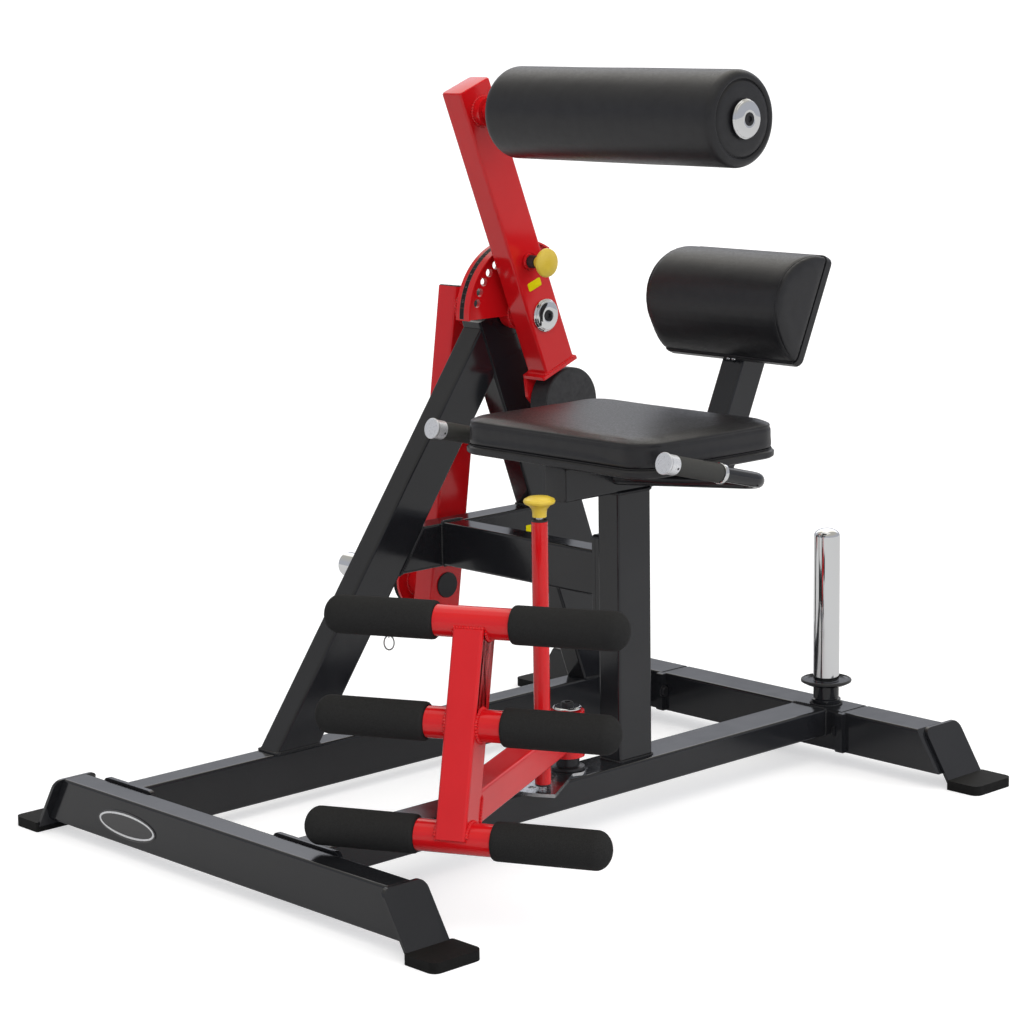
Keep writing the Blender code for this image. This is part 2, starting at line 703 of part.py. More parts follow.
shaft = rod(SHAFT_R, PIVOT + X * (LEVER_FAR + 0.001), PIVOT + X * (ARM_NEAR - 0.001), 32, 0.001)
node("pivot_shaft", shaft, "alloy", PIVOT)

# Weight lever
lever = bar(rounded(TUBE, ARM_DEEP, CORNER), PIVOT + X * (LEVER_NEAR - TUBE / 2), X, lever_back, lever_up,
            -LEVER_DOWN, 0.0365)
hub = rod(0.034, PIVOT + X * (LEVER_NEAR - 0.002), PIVOT + X * (-0.3535), 40)
bore = rod(SHAFT_R + GAP, PIVOT + X * (LEVER_FAR - 0.01), PIVOT + X * -0.30, 32)
node("weight_lever", subtract(union(lever, hub), bore), "red", PIVOT)

HORN_AXIS = PIVOT - lever_up * HORN_DOWN
spacer_far = LEVER_FAR - 0.027
flange_profile = [(0, LEVER_FAR - GAP), (0.030, LEVER_FAR - GAP), (0.030, spacer_far),
                  (0.0525, spacer_far), (0.0525, spacer_far - 0.006), (0, spacer_far - 0.006)]
node("horn_flange", lathe(flange_profile, HORN_AXIS, X, 40), "red", PIVOT)
horn_low = spacer_far - 0.006 - GAP
horn = lathe([(0, horn_low), (HORN_R, horn_low), (HORN_R, HORN_END + 0.008),
              (HORN_R - 0.002, HORN_END + 0.0035), (HORN_R - 0.006, HORN_END + 0.001),
              (HORN_R - 0.010, HORN_END), (0, HORN_END)], HORN_AXIS, X, 40)
node("plate_horn", horn, "chrome", PIVOT)


def turned(angle, r):
    return (r * cos(angle), r * sin(angle))


# Index sector: web plate, wide rim band and hub
PIN_ANGLE = pi / 2 + ARM_LEAN
RIM_START = radians(58.8)
RIM_END = radians(181.6)
RIM_IN = SECTOR_R - RIM_THICK
RIM_MID = SECTOR_R - RIM_THICK / 2
WEB = 0.008
arc = 30
web_outline = [turned(RIM_START + (RIM_END - RIM_START) * i / arc, RIM_MID) for i in range(arc + 1)]
web_outline += [(-0.030, -0.0035), (-0.020, -0.026), (0.0, -0.032), (0.022, -0.024), (0.032, 0.0),
                (0.031, 0.012)]
web = bar(web_outline, PIVOT, Y, Z, X, WEB_NEAR - WEB, WEB_NEAR)
band_outline = [turned(RIM_START + (RIM_END - RIM_START) * i / arc, SECTOR_R) for i in range(arc + 1)]
band_outline += [turned(RIM_START + (RIM_END - RIM_START) * i / arc, RIM_IN) for i in range(arc, -1, -1)]
band = bar(band_outline, PIVOT, Y, Z, X, SECTOR_FAR, SECTOR_NEAR)
sector_hub = rod(0.028, PIVOT + X * SECTOR_FAR, PIVOT + X * (ARM_FAR - 0.0008), 40)
sector = union(web, band, sector_hub)
cutters = [rod(SHAFT_R + GAP, PIVOT + X * -0.30, PIVOT + X * -0.20, 32)]
for k in range(-4, 6):
    y, z = turned(PIN_ANGLE + k * HOLE_STEP, HOLE_R)
    hole = PIVOT + Vector((0, y, z))
    cutters.append(rod(0.0078, hole + X * (WEB_NEAR - 0.02), hole + X * (WEB_NEAR + 0.02), 16))
node("index_sector", subtract(sector, *cutters), "red", PIVOT)

# Exercise arm with end plate, boss and counterweight bracket
BRACKET = 0.008
arm_mid = PIVOT + X * (ARM_NEAR - TUBE / 2)
arm = bar(rounded(TUBE, ARM_DEEP, CORNER), arm_mid, X, arm_back, arm_up, -ARM_DOWN - 0.001, ARM_UP)
end_plate = bar(rounded(TUBE + 0.006, ARM_DEEP + 0.0175, 0.004), arm_mid - arm_back * 0.00375,
                X, arm_back, arm_up, -ARM_DOWN - 0.006, -ARM_DOWN)
bracket_x = ARM_FAR - 0.0022
bracket_outline = [(-0.0485, -ARM_DOWN - 0.003), (-0.058, -0.142), (-0.040, -WEIGHT_DOWN - 0.010),
                   (-0.018, -WEIGHT_DOWN - 0.030), (0.018, -WEIGHT_DOWN - 0.030),
                   (0.040, -WEIGHT_DOWN - 0.010), (0.0405, -ARM_DOWN - 0.003)]
bracket = bar(bracket_outline, PIVOT, arm_back, arm_up, X, bracket_x, bracket_x + BRACKET)
AXLE = PIVOT + arm_up * AXLE_UP
PIN = PIVOT + arm_up * HOLE_R
boss = rod(0.025, AXLE + X * (ARM_NEAR - 0.003), AXLE + X * (ARM_NEAR + 0.016), 32)
arm = union(arm, end_plate, bracket, boss)
arm = subtract(arm, rod(SHAFT_R + PLAY, PIVOT + X * -0.26, PIVOT + X * -0.15, 32),
               rod(0.0078, PIN + X * -0.26, PIN + X * -0.15, 20),
               rod(0.0125 + GAP, AXLE + X * (ARM_FAR - 0.01), AXLE + X * -0.10, 28))
node("exercise_arm", arm, "red", PIVOT)

washer = lathe([(0, ARM_NEAR + GAP), (0.0300, ARM_NEAR + GAP), (0.0300, ARM_NEAR + 0.003),
                (0.0270, ARM_NEAR + 0.0055), (0, ARM_NEAR + 0.0055)], PIVOT, X, 40)
node("arm_washer", washer, "chrome", PIVOT)

WEIGHT = PIVOT - arm_up * WEIGHT_DOWN
weight_far = bracket_x + BRACKET + GAP
weight_near = ARM_NEAR
weight = lathe([(0, weight_far), (WEIGHT_R - 0.002, weight_far), (WEIGHT_R, weight_far + 0.002),
                (WEIGHT_R, weight_near - 0.002), (WEIGHT_R - 0.002, weight_near), (0, weight_near)],
               WEIGHT, X, 48)
node("counterweight", weight, "iron", PIVOT)

# Pad axle, roller pad and its washers
axle = rod(0.0125, AXLE + X * (ARM_FAR + 0.001), AXLE + X * (PAD_NEAR + 0.004), 28)
shoulder = rod(0.0175, AXLE + X * (ARM_NEAR + 0.016 + GAP), AXLE + X * (PAD_FAR - 0.0015), 28)
node("pad_axle", union(axle, shoulder), "red", PIVOT)
PAD_EDGE = 0.010
pad_profile = [(0.0125 + PLAY, PAD_FAR), (PAD_R - 0.020, PAD_FAR), (PAD_R - 0.010, PAD_FAR + 0.0008),
               (PAD_R - 0.0040, PAD_FAR + 0.0036), (PAD_R - 0.0010, PAD_FAR + 0.008),
               (PAD_R, PAD_FAR + 0.015), (PAD_R, PAD_NEAR - 0.015), (PAD_R - 0.0010, PAD_NEAR - 0.008),
               (PAD_R - 0.0040, PAD_NEAR - 0.0036), (PAD_R - 0.010, PAD_NEAR - 0.0008),
               (PAD_R - 0.020, PAD_NEAR), (0.0125 + PLAY, PAD_NEAR)]
node("roller_pad", lathe(pad_profile, AXLE, X, 48), "vinyl", AXLE)
pad_washer = lathe([(0, PAD_NEAR + 0.0043), (0.0322, PAD_NEAR + 0.0043), (0.0322, PAD_NEAR + 0.0065),
                    (0.0300, PAD_NEAR + 0.0090), (0, PAD_NEAR + 0.0090)], AXLE, X, 40)
node("pad_washer", pad_washer, "chrome", PIVOT)

# Pop pin
pin_housing = lathe([(0.0060 + PLAY, ARM_NEAR + GAP), (0.0150, ARM_NEAR + GAP), (0.0150, ARM_NEAR + 0.005),
                     (0.0115, ARM_NEAR + 0.006), (0.0115, ARM_NEAR + 0.022), (0.0060 + PLAY, ARM_NEAR + 0.022)],
                    PIN, X, 24)
node("pop_pin_housing", pin_housing, "iron", PIVOT)
pin_body = rod(0.0060, PIN + X * (WEB_NEAR + GAP), PIN + X * (ARM_NEAR + 0.034), 20, 0.001)
node("pop_pin", pin_body, "alloy", PIN)
knob_low = ARM_NEAR + 0.0235
knob_bore = ARM_NEAR + 0.034 + GAP


def capped_knob(low, r_bore, bore_end, profile, origin, axis, n=26):
    """Knob with a blind bore from its lower end."""
    body = lathe([(0, low)] + profile, origin, axis, n)
    w = Vector(axis).normalized()
    hole = rod(r_bore, Vector(origin) + w * (low - 0.005), Vector(origin) + w * bore_end, 14)
    return subtract(body, hole)


knob_profile = [(0.0105, 0), (0.0110, 0.006), (0.0135, 0.013), (0.0240, 0.018), (0.0262, 0.022),
                (0.0250, 0.026), (0.0180, 0.0295), (0.0090, 0.0308), (0, 0.0312)]
knob = capped_knob(knob_low, 0.0060 + GAP, knob_bore, [(r, knob_low + h) for r, h in knob_profile], PIN, X)
node("pop_pin_knob", knob, "yellow", PIN)


# Footrest

SPIN = Vector((SPIN_X, SPIN_Y, 0))
ahead = Vector((sin(TURN), -cos(TURN), 0))
across = Vector((cos(TURN), sin(TURN), 0))
rest_up = (Z - ahead * REST_SLOPE).normalized()
rest_out = (ahead + Z * REST_SLOPE).normalized()


def rest_at(z):
    return SPIN + ahead * (REST_L - (z - REST_MID) * REST_SLOPE) + Z * z


ARM_LOW, ARM_HIGH = 0.153, 0.2055
POST_DEEP = 0.060
rest_mid = rest_at(REST_MID)
rest_post = bar(rounded(TUBE, POST_DEEP, CORNER), rest_mid, across, rest_out, rest_up,
                (SPIN + Z * (ROLLERS[0] + 0.004), Z), (SPIN + Z * (ROLLERS[2] - 0.004), Z))
rest_arm = bar(rounded(TUBE, ARM_HIGH - ARM_LOW, CORNER), SPIN + Z * ((ARM_LOW + ARM_HIGH) / 2),
               across, Z, ahead, 0.020, (rest_mid, rest_out))
sleeve = rod(0.029, SPIN + Z * 0.131, SPIN + Z * 0.210, 32)
pin_tube = rod(PIN_TUBE_R, SPIN + ahead * PIN_L + Z * PIN_LOW, SPIN + ahead * PIN_L + Z * PIN_HIGH, 24)
parts = [rest_arm, sleeve, pin_tube]
CORE_R = 0.0125
CORE_OUT = FOAM_OUT - 0.030
for z in ROLLERS:
    axis_at = rest_at(z)
    parts.append(rod(0.025, axis_at - across * (FOAM_IN - GAP), axis_at + across * (FOAM_IN - GAP), 26))
    parts.append(rod(CORE_R, axis_at - across * CORE_OUT, axis_at + across * CORE_OUT, 14))
rest = union(rest_post, *parts)
rest = subtract(rest, rod(SPINDLE_R + PLAY, SPIN, SPIN + Z * 0.3, 32),
                rod(0.0070, SPIN + ahead * PIN_L, SPIN + ahead * PIN_L + Z * 0.6, 14))
node("footrest_frame", rest, "red", SPIN)

for z, level in zip(ROLLERS, ("low", "middle", "top")):
    for side, label in ((1, "right"), (-1, "left")):
        long = FOAM_OUT - FOAM_IN
        profile = [(0, 0), (FOAM_R - 0.003, 0), (FOAM_R, 0.003)]
        profile += [(FOAM_R * cos(pi * i / 10), long - DOME + DOME * sin(pi * i / 10)) for i in range(5)]
        profile.append((0, long))
        solid = lathe(profile, rest_at(z) + across * side * FOAM_IN, across * side, 24)
        hole = rod(CORE_R + GAP, rest_at(z) + across * side * (FOAM_IN - 0.01),
                   rest_at(z) + across * side * (CORE_OUT + GAP), 14)
        node("foam_roller_" + level + "_" + label, subtract(solid, hole), "foam", SPIN)

# Index plate on the rail: a sector about the spindle with a row of holes
INDEX_THICK = 0.006
INDEX_R = 0.158
index_low = TOP + GAP
reach = radians(38)
outline = []
for i in range(17):
    a = -reach + 2 * reach * i / 16
    outline.append((INDEX_R * sin(a), -INDEX_R * cos(a)))
for i in range(9):
    a = radians(60) + radians(240) * i / 8
    outline.append((0.034 * sin(a), -0.034 * cos(a)))
index_plate = bar(outline, SPIN, X, Y, Z, index_low, index_low + INDEX_THICK)
cutters = []
for k in range(-3, 4):
    a = k * TURN / 3
    spot = SPIN + Vector((PIN_L * sin(a), -PIN_L * cos(a), 0))
    cutters.append(rod(0.0068, spot, spot + Z * 0.2, 16))
node("index_plate", subtract(index_plate, *cutters), "zinc")

base_low = index_low + INDEX_THICK + GAP
spindle = lathe([(0, base_low), (0.0290, base_low), (0.0290, base_low + 0.005), (0.0200, base_low + 0.007),
                 (0.0200, 0.1300), (SPINDLE_R, 0.1300), (SPINDLE_R, 0.2125), (0, 0.2125)], SPIN, Z, 32)
node("footrest_spindle", spindle, "iron")
spin_washer = lathe([(0, 0.2128), (0.0244, 0.2128), (0.0244, 0.2150), (0.0220, 0.2170), (0, 0.2170)],
                    SPIN, Z, 36)
node("footrest_washer", spin_washer, "chrome")

PIN_SPOT = SPIN + ahead * PIN_L
index_pin = rod(0.0060, PIN_SPOT + Z * base_low, PIN_SPOT + Z * 0.578, 20, 0.001)
node("index_pin", index_pin, "alloy", PIN_SPOT)
mushroom = [(0.0118, 0.5635), (0.0118, 0.570), (0.0130, 0.577), (0.0180, 0.5825), (0.0250, 0.586),
            (0.0265, 0.5895), (0.0250, 0.593), (0.0180, 0.5965), (0.0090, 0.5980), (0, 0.5985)]
knob = capped_knob(0.5635, 0.0060 + GAP, 0.5783, mushroom, PIN_SPOT, Z)
node("index_pin_knob", knob, "yellow", PIN_SPOT)

# The origin lies below the middle of the whole machine.
across_all = [body.location.x + v.co.x for body in pieces for v in body.data.vertices]
middle = (min(across_all) + max(across_all)) / 2
for body in pieces:
    body.location.x -= middle
print("sideways shift", round(-middle, 6))
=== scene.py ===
# %% [markdown]
# # Dressing an ab and back machine
# The machine is a welded frame of black tube, with a red weight lever, a red padded arm and a red
# footrest that swings. Its solids come in from CAD as a fixed frame. Each gets its finish here, and
# what is too fine or too soft for CAD is added: upholstery, foam, screws, weld beads and labels.

from math import sin, cos, tan, pi, radians, hypot

import bmesh
import bpy
import numpy as np
from mathutils import Matrix, Vector, noise
from mathutils.bvhtree import BVHTree


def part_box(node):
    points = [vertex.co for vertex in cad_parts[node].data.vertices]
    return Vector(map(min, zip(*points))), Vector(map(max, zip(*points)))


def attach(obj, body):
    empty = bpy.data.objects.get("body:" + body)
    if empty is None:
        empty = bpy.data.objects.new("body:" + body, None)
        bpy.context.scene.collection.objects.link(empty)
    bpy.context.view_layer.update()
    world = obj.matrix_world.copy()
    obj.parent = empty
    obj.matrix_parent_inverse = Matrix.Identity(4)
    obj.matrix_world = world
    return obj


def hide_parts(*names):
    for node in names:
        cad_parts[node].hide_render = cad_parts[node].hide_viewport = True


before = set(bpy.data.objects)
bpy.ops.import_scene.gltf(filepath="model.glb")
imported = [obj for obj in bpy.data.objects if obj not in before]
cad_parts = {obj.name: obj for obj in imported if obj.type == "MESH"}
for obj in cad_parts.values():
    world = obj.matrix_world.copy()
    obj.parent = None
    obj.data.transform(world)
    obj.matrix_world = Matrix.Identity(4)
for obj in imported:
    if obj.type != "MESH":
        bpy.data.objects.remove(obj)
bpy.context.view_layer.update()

# %% [markdown]
# ## Where things are
# The machine has a lever side on the left, with the A-frame, and a seat side on the right, with the
# flat rail. Everything is measured from these two, which are read from the solids and so never drift.

# %% Middle lines
X, Y, Z = Vector((1, 0, 0)), Vector((0, 1, 0)), Vector((0, 0, 1))


def middle(node):
    low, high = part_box(node)
    return (low + high) / 2


SEAT_SIDE = middle("seat_tube").x
LEVER_SIDE = middle("left_rail").x
SEAT_FROM_FEET = 0.167           # sideways from the middle between the feet
SHIFT = SEAT_SIDE - SEAT_FROM_FEET
shaft = middle("pivot_shaft")
PIVOT = Vector((SHIFT, shaft.y, shaft.z))
print("seat side", round(SEAT_SIDE, 4), "lever side", round(LEVER_SIDE, 4))

# %% [markdown]
# ## The camera
# The view is from the front right, a little above the seat, with a long lens. It was worked out from
# the vanishing points of the rails, the crossmembers and the posts.

# %% Put the camera at that viewpoint
TILT, LEVEL, HEADING = 79.547827, 0.853599, 46.699538       # degrees
LENS, SENSOR = 99.07, 36         # millimetres


def put_in(thing):
    bpy.context.scene.collection.objects.link(thing)
    return thing


lens = bpy.data.cameras.new("camera")
lens.lens, lens.sensor_width, lens.clip_end = LENS, SENSOR, 200
camera = put_in(bpy.data.objects.new("camera", lens))
camera.location = (3.469 + SHIFT, -3.262, 1.400)
camera.rotation_euler = [radians(angle) for angle in (TILT, LEVEL, HEADING)]
bpy.context.scene.camera = camera
bpy.context.view_layer.update()
print("camera at", [round(v, 3) for v in camera.location])

# %% [markdown]
# ## Textures for the finishes
# What varies over a surface, such as the grain of vinyl, comes from noise in the object's own
# coordinates, so it needs no unwrapping and stays put when a part moves. A texture here is a recipe,
# which a finish makes for itself.

# %% Nodes, noise and cells
def add(owner, kind, **values):
    node = owner.node_tree.nodes.new(kind)
    for key, value in values.items():
        if key in node.inputs:
            node.inputs[key].default_value = value
        else:
            setattr(node, key, value)
    return node


def join(owner, source, target):
    owner.node_tree.links.new(source, target)


def rgba(tone):
    """A grey may be given as one number."""
    return (tone, tone, tone, 1) if isinstance(tone, float) else (*tone, 1)


def ramp(owner, source, stops, tones):
    node = add(owner, "ShaderNodeValToRGB")
    for end, at, tone in zip(node.color_ramp.elements, stops, tones):
        end.position, end.color = at, rgba(tone)
    join(owner, source, node.inputs["Fac"])
    return node.outputs["Color"]


def spread(owner, source, stops, low, high, **how):
    node = add(owner, "ShaderNodeMapRange", **{"From Min": stops[0], "From Max": stops[1], "To Min": low,
                                               "To Max": high}, **how)
    join(owner, source, node.inputs["Value"])
    return node.outputs["Result"]


def texture(kind, output, stretch=(1, 1, 1), **values):
    """A recipe in object coordinates, in metres, stretched for brushed or turned finishes."""
    def make(material):
        where = add(material, "ShaderNodeMapping", Scale=stretch)
        join(material, add(material, "ShaderNodeTexCoord").outputs["Object"], where.inputs["Vector"])
        node = add(material, kind, **values)
        join(material, where.outputs["Vector"], node.inputs["Vector"])
        return node.outputs[output]
    return make


def speckle(per_metre, detail, stretch=(1, 1, 1)):
    return texture("ShaderNodeTexNoise", "Fac", stretch, Scale=per_metre, Detail=detail)


def pebbles(per_metre):
    return texture("ShaderNodeTexVoronoi", "Distance", Scale=per_metre)


# %% [markdown]
# ## A finish
# A finish is one Principled shader with its steady values on its own sockets. Only colour and
# roughness may vary over the surface. Bumps lie on each other, their heights in metres.

# %% From colour, roughness and bumps to a finish
EVEN = (0.3, 0.7)                # the part of a noise's range that most of the surface has


def finish(name, colour, rough, bumps=(), stops=EVEN, metal=0.0, specular=0.5, coat=0.0):
    """Colour is a tone or (texture, darker, lighter), roughness a number or (texture, low, high)."""
    material = bpy.data.materials.new(name)
    material.use_nodes = True
    shader = material.node_tree.nodes["Principled BSDF"].inputs
    for socket, value in (("Metallic", metal), ("Specular IOR Level", specular), ("Coat Weight", coat),
                          ("Coat Roughness", 0.05)):
        shader[socket].default_value = value
    if isinstance(colour, tuple) and callable(colour[0]):
        recipe, *tones = colour
        join(material, ramp(material, recipe(material), stops, tones), shader["Base Color"])
    else:
        shader["Base Color"].default_value = rgba(colour)
    if isinstance(rough, tuple):
        recipe, low, high = rough
        join(material, spread(material, recipe(material), EVEN, low, high), shader["Roughness"])
    else:
        shader["Roughness"].default_value = rough
    below = None
    for recipe, height in bumps:
        bump = add(material, "ShaderNodeBump", Distance=height, Strength=1.0)
        join(material, recipe(material), bump.inputs["Height"])
        if below:
            join(material, below, bump.inputs["Normal"])
        below = bump.outputs["Normal"]
        join(material, below, shader["Normal"])
    print("finish:", name)
    return material


# %% [markdown]
# ## Powder coat, black and red
# The tubes are sprayed with dry powder and baked. The skin flows out almost like gloss enamel, but
# keeps a fine orange peel, and a few duller clouds where the layer is thinner. Fine noise makes the
# peel and broad noise the clouds.

# %% Black and red coat
def powder_coat(name, dark, light):
    return finish(name, (speckle(9, 3), dark, light), (speckle(26, 4), 0.119, 0.175),
                  [(speckle(420, 1), 0.00002), (speckle(1500, 2), 0.000006)])


black_coat = powder_coat("black_powder_coat", (0.0092, 0.0098, 0.0118), (0.0122, 0.0128, 0.0150))
red_coat = powder_coat("red_powder_coat", (0.560, 0.0060, 0.0090), (0.600, 0.0075, 0.0110))

# %% [markdown]
# ## Vinyl, foam and rubber
# The cushions are wrapped in black vinyl. Its grain is a net of small cells pressed into the skin, so
# it is made from a cell texture, softened by noise. The rollers and grips are closed-cell foam, with
# hardly any shine and a skin full of tiny pits. The shoes are moulded rubber.

# %% Vinyl, foam, rubber and plastic
vinyl = finish("black_vinyl", (speckle(60, 4), (0.0095, 0.0095, 0.0110), (0.0130, 0.0130, 0.0148)),
               (speckle(240, 3), 0.30, 0.42),
               [(pebbles(900), 0.00010), (speckle(2400, 3), 0.00003), (speckle(14, 2), 0.0010)],
               specular=0.45)
foam = finish("roller_foam", (speckle(900, 4), 0.011, 0.024), 0.92,
              [(pebbles(1300), 0.00018), (speckle(3200, 2), 0.00006), (speckle(35, 2), 0.0006)],
              specular=0.18)
grip_foam = finish("grip_foam", (speckle(700, 4), (0.034, 0.034, 0.031), (0.046, 0.046, 0.043)), 0.62,
                   [(pebbles(1500), 0.00008), (speckle(3200, 2), 0.00004)], specular=0.30)
shoe_rubber = finish("shoe_rubber", (speckle(120, 4), 0.003, 0.006), 0.70, [(speckle(1100, 4), 0.00009)],
                     specular=0.22)
cap_plastic = finish("black_cap_plastic", (0.018, 0.018, 0.019), (speckle(700, 3), 0.38, 0.55),
                     [(speckle(1400, 2), 0.00003)])

# %% [markdown]
# ## Metals and paint
# Chrome on the horns and washers is almost a mirror. The grip caps are tumbled aluminium, which
# sparkles in small grains. The index plate is zinc-plated steel, whose crystals make dull and bright
# patches. Screws are black oxide, and the counterweight is cast iron under a dull coat.

# %% Chrome, aluminium, zinc and steel
chrome = finish("polished_chrome", (0.80, 0.81, 0.82), (speckle(90, 5), 0.03, 0.07),
                [(speckle(500, 2), 0.000004)], metal=1.0)
tumbled_aluminium = finish("tumbled_aluminium", (speckle(1500, 4), (0.62, 0.63, 0.66), (0.93, 0.94, 0.95)),
                           (speckle(800, 4), 0.24, 0.46), [(speckle(1700, 3), 0.00004)], metal=0.70)
zinc_plate = finish("zinc_plate", (pebbles(220), (0.52, 0.53, 0.55), (0.64, 0.65, 0.66)),
                    (speckle(160, 4), 0.09, 0.20), [(speckle(900, 3), 0.00002)], stops=(0.1, 0.8),
                    metal=1.0)
bright_steel = finish("ground_steel", (0.62, 0.62, 0.63), (speckle(300, 4, (1, 1, 9)), 0.17, 0.34),
                      [(speckle(700, 2, (1, 1, 12)), 0.00001)], metal=1.0)
dark_wire = finish("keeper_wire", 0.26, (speckle(700, 3), 0.22, 0.40), [(speckle(1600, 2), 0.00001)],
                   metal=1.0)

# %% Black screws, cast iron, yellow knobs and labels
black_oxide = finish("black_oxide_screw", (0.030, 0.030, 0.033), (speckle(500, 3), 0.26, 0.45),
                     [(speckle(1500, 2), 0.00002)], metal=0.6)
cast_iron = finish("cast_iron_dull_coat", (speckle(150, 5), (0.016, 0.016, 0.018), (0.028, 0.028, 0.030)),
                   (speckle(90, 3), 0.42, 0.60), [(speckle(380, 4), 0.00012)])
knob_yellow = finish("yellow_knob_plastic", (speckle(70, 3), (0.68, 0.48, 0.040), (0.75, 0.55, 0.058)),
                     0.36, [(speckle(1600, 2), 0.00002)])
label_yellow = finish("yellow_label_film", (speckle(300, 3), (0.70, 0.60, 0.001), (0.76, 0.66, 0.003)),
                      0.50, [(speckle(220, 3), 0.00003)], specular=0.06)
badge_dark = finish("badge_dark_enamel", (0.016, 0.016, 0.018), 0.22, [(speckle(900, 2), 0.00001)],
                    coat=0.5)
strip_black = finish("scale_strip", (0.010, 0.008, 0.008), 0.55, [(speckle(800, 2), 0.00002)],
                     specular=0.20)
strip_pale = finish("scale_numbers", (speckle(900, 3), (0.10, 0.08, 0.08), (0.16, 0.13, 0.13)), 0.45)

# %% [markdown]
# ## Dressing the solids
# Tube and plate are right in CAD already, so those solids stay and only change their material. Each is
# welded at its corners and shaded smooth, with its true edges kept crisp and a hair of bevel, so that
# an edge catches light as thick powder coat does.

# %% Give each solid its finish
DRESS = [                        # the first word found in a solid's name; any other solid is black
    (knob_yellow, ["knob"]),
    (cast_iron, ["counterweight", "pop_pin_housing"]),
    (black_oxide, ["footrest_spindle"]),
    (black_coat, ["horn_base"]),
    (red_coat, ["weight_lever", "horn_flange", "index_sector", "exercise_arm", "pad_axle", "footrest_frame"]),
    (vinyl, ["_board", "_cushion", "roller_pad"]),
    (foam, ["foam_roller", "handle_grip"]),
    (shoe_rubber, ["rubber_foot"]),
    (chrome, ["_horn", "_washer"]),
    (tumbled_aluminium, ["handle_cap"]),
    (bright_steel, ["pivot_shaft", "pop_pin", "index_pin"]),
    (zinc_plate, ["index_plate"]),
]


def modify(thing, label, kind, **settings):
    modifier = thing.modifiers.new(label, kind)
    for key, value in settings.items():
        setattr(modifier, key, value)
    return modifier


for name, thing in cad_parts.items():
    thing.data.materials.clear()
    coats = [coat for coat, words in DRESS if any(word in name for word in words)]
    thing.data.materials.append((coats + [black_coat])[0])
    thing.data.shade_smooth()
    modify(thing, "corners", "WELD", merge_threshold=0.00002)
    modify(thing, "flats", "DECIMATE", decimate_type="DISSOLVE", angle_limit=radians(0.6))
    modify(thing, "edges", "BEVEL", width=0.0006, segments=2, limit_method="ANGLE", angle_limit=radians(35),
           use_clamp_overlap=True, harden_normals=True)
    modify(thing, "shading", "WEIGHTED_NORMAL", weight=100)
print("dressed:", len(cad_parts), "solids")

# %% [markdown]
# ## Builders for new pieces
# Every added piece is a profile turned round an axis, an outline pushed along a line, or a ring
# carried along a path. Several can go into one mesh, as all the weld beads of one body do.

# %% Turned, pushed and carried surfaces
def square_to(axis):
    axis = Vector(axis).normalized()
    side = Z if abs(axis.z) < 0.9 else X
    u = side.cross(axis).normalized()
    return u, axis.cross(u), axis


def circle(r, n, start=0.0):
    return [(r * cos(2 * pi * i / n + start), r * sin(2 * pi * i / n + start)) for i in range(n)]


def skin(bm, rings, caps=(0, -1), loop=False):
    """Rings of points joined into a surface. A loop joins the last to the first and has no caps."""
    made = [[bm.verts.new(p) for p in ring] for ring in rings]
    n = len(made[0])
    for one, two in list(zip(made, made[1:])) + ([(made[-1], made[0])] if loop else []):
        for i in range(n):
            j = (i + 1) % n
            bm.faces.new((one[i], one[j], two[j], two[i]))
    for k in () if loop else caps:
        bm.faces.new(made[k])


def turn(bm, profile, origin, axis, n=40):
    """Profile points are (radius, distance along the axis)."""
    u, v, w = square_to(axis)
    spokes = [u * a + v * b for a, b in circle(1, n)]
    rings = [[bm.verts.new(Vector(origin) + w * h + s * r) for s in (spokes if r > 1e-7 else spokes[:1])]
             for r, h in profile]
    pairs = list(zip(rings, rings[1:])) + ([(rings[-1], rings[0])] if len(rings[0]) > 1 else [])
    for one, two in pairs:
        for i in range(n):
            j = (i + 1) % n
            corners = [one[0]] if len(one) == 1 else [one[i], one[j]]
            corners += [two[0]] if len(two) == 1 else [two[j], two[i]]
            if len(corners) > 2:
                bm.faces.new(corners)


def outline(w, h, r, corner=5, side=1):
    """Rounded rectangle about the middle, anticlockwise, its sides cut into so many steps."""
    points = []
    for k, (cx, cy) in enumerate([(1, 1), (-1, 1), (-1, -1), (1, -1), (1, 1)]):
        arc = [(cx * (w / 2 - r) + r * cos(a), cy * (h / 2 - r) + r * sin(a))
               for a in [pi / 2 * (k + i / corner) for i in range(corner + 1)]]
        if k:
            start, stop = Vector((*points[-1], 0)), Vector((*arc[0], 0))
            points += [start.lerp(stop, i / side)[:2] for i in range(1, side)]
        points += arc if k < 4 else []
    return points


def push(bm, shape, base, u, v, along, layers):
    """Outline in the plane of u and v. Layers are (distance along, growth of the outline)."""
    skin(bm, [[Vector(base) + (u * a + v * b) * (1 + grow / hypot(a, b)) + along * h for a, b in shape]
              for h, grow in layers])


def carry(bm, path, radius, n=10, loop=False):
    """Round section along a path. The radius is a number or a function of the length so far."""
    count = len(path)
    rings, u, so_far = [], None, 0.0
    for k, p in enumerate(path):
        before = path[(k - 1) % count] if loop or k else p
        after = path[(k + 1) % count] if loop or k < count - 1 else p
        t = (after - before).normalized()
        u = square_to(t)[0] if u is None else (u - t * u.dot(t)).normalized()
        so_far += (p - path[k - 1]).length if k else 0.0
        r = radius(so_far) if callable(radius) else radius
        rings.append([p + u * a + t.cross(u) * b for a, b in circle(r, n)])
    skin(bm, rings, loop=loop)


def mesh_of(name, bm, material):
    mesh = bpy.data.meshes.new(name)
    bm.to_mesh(mesh)
    bm.free()
    mesh.materials.append(material)
    return mesh


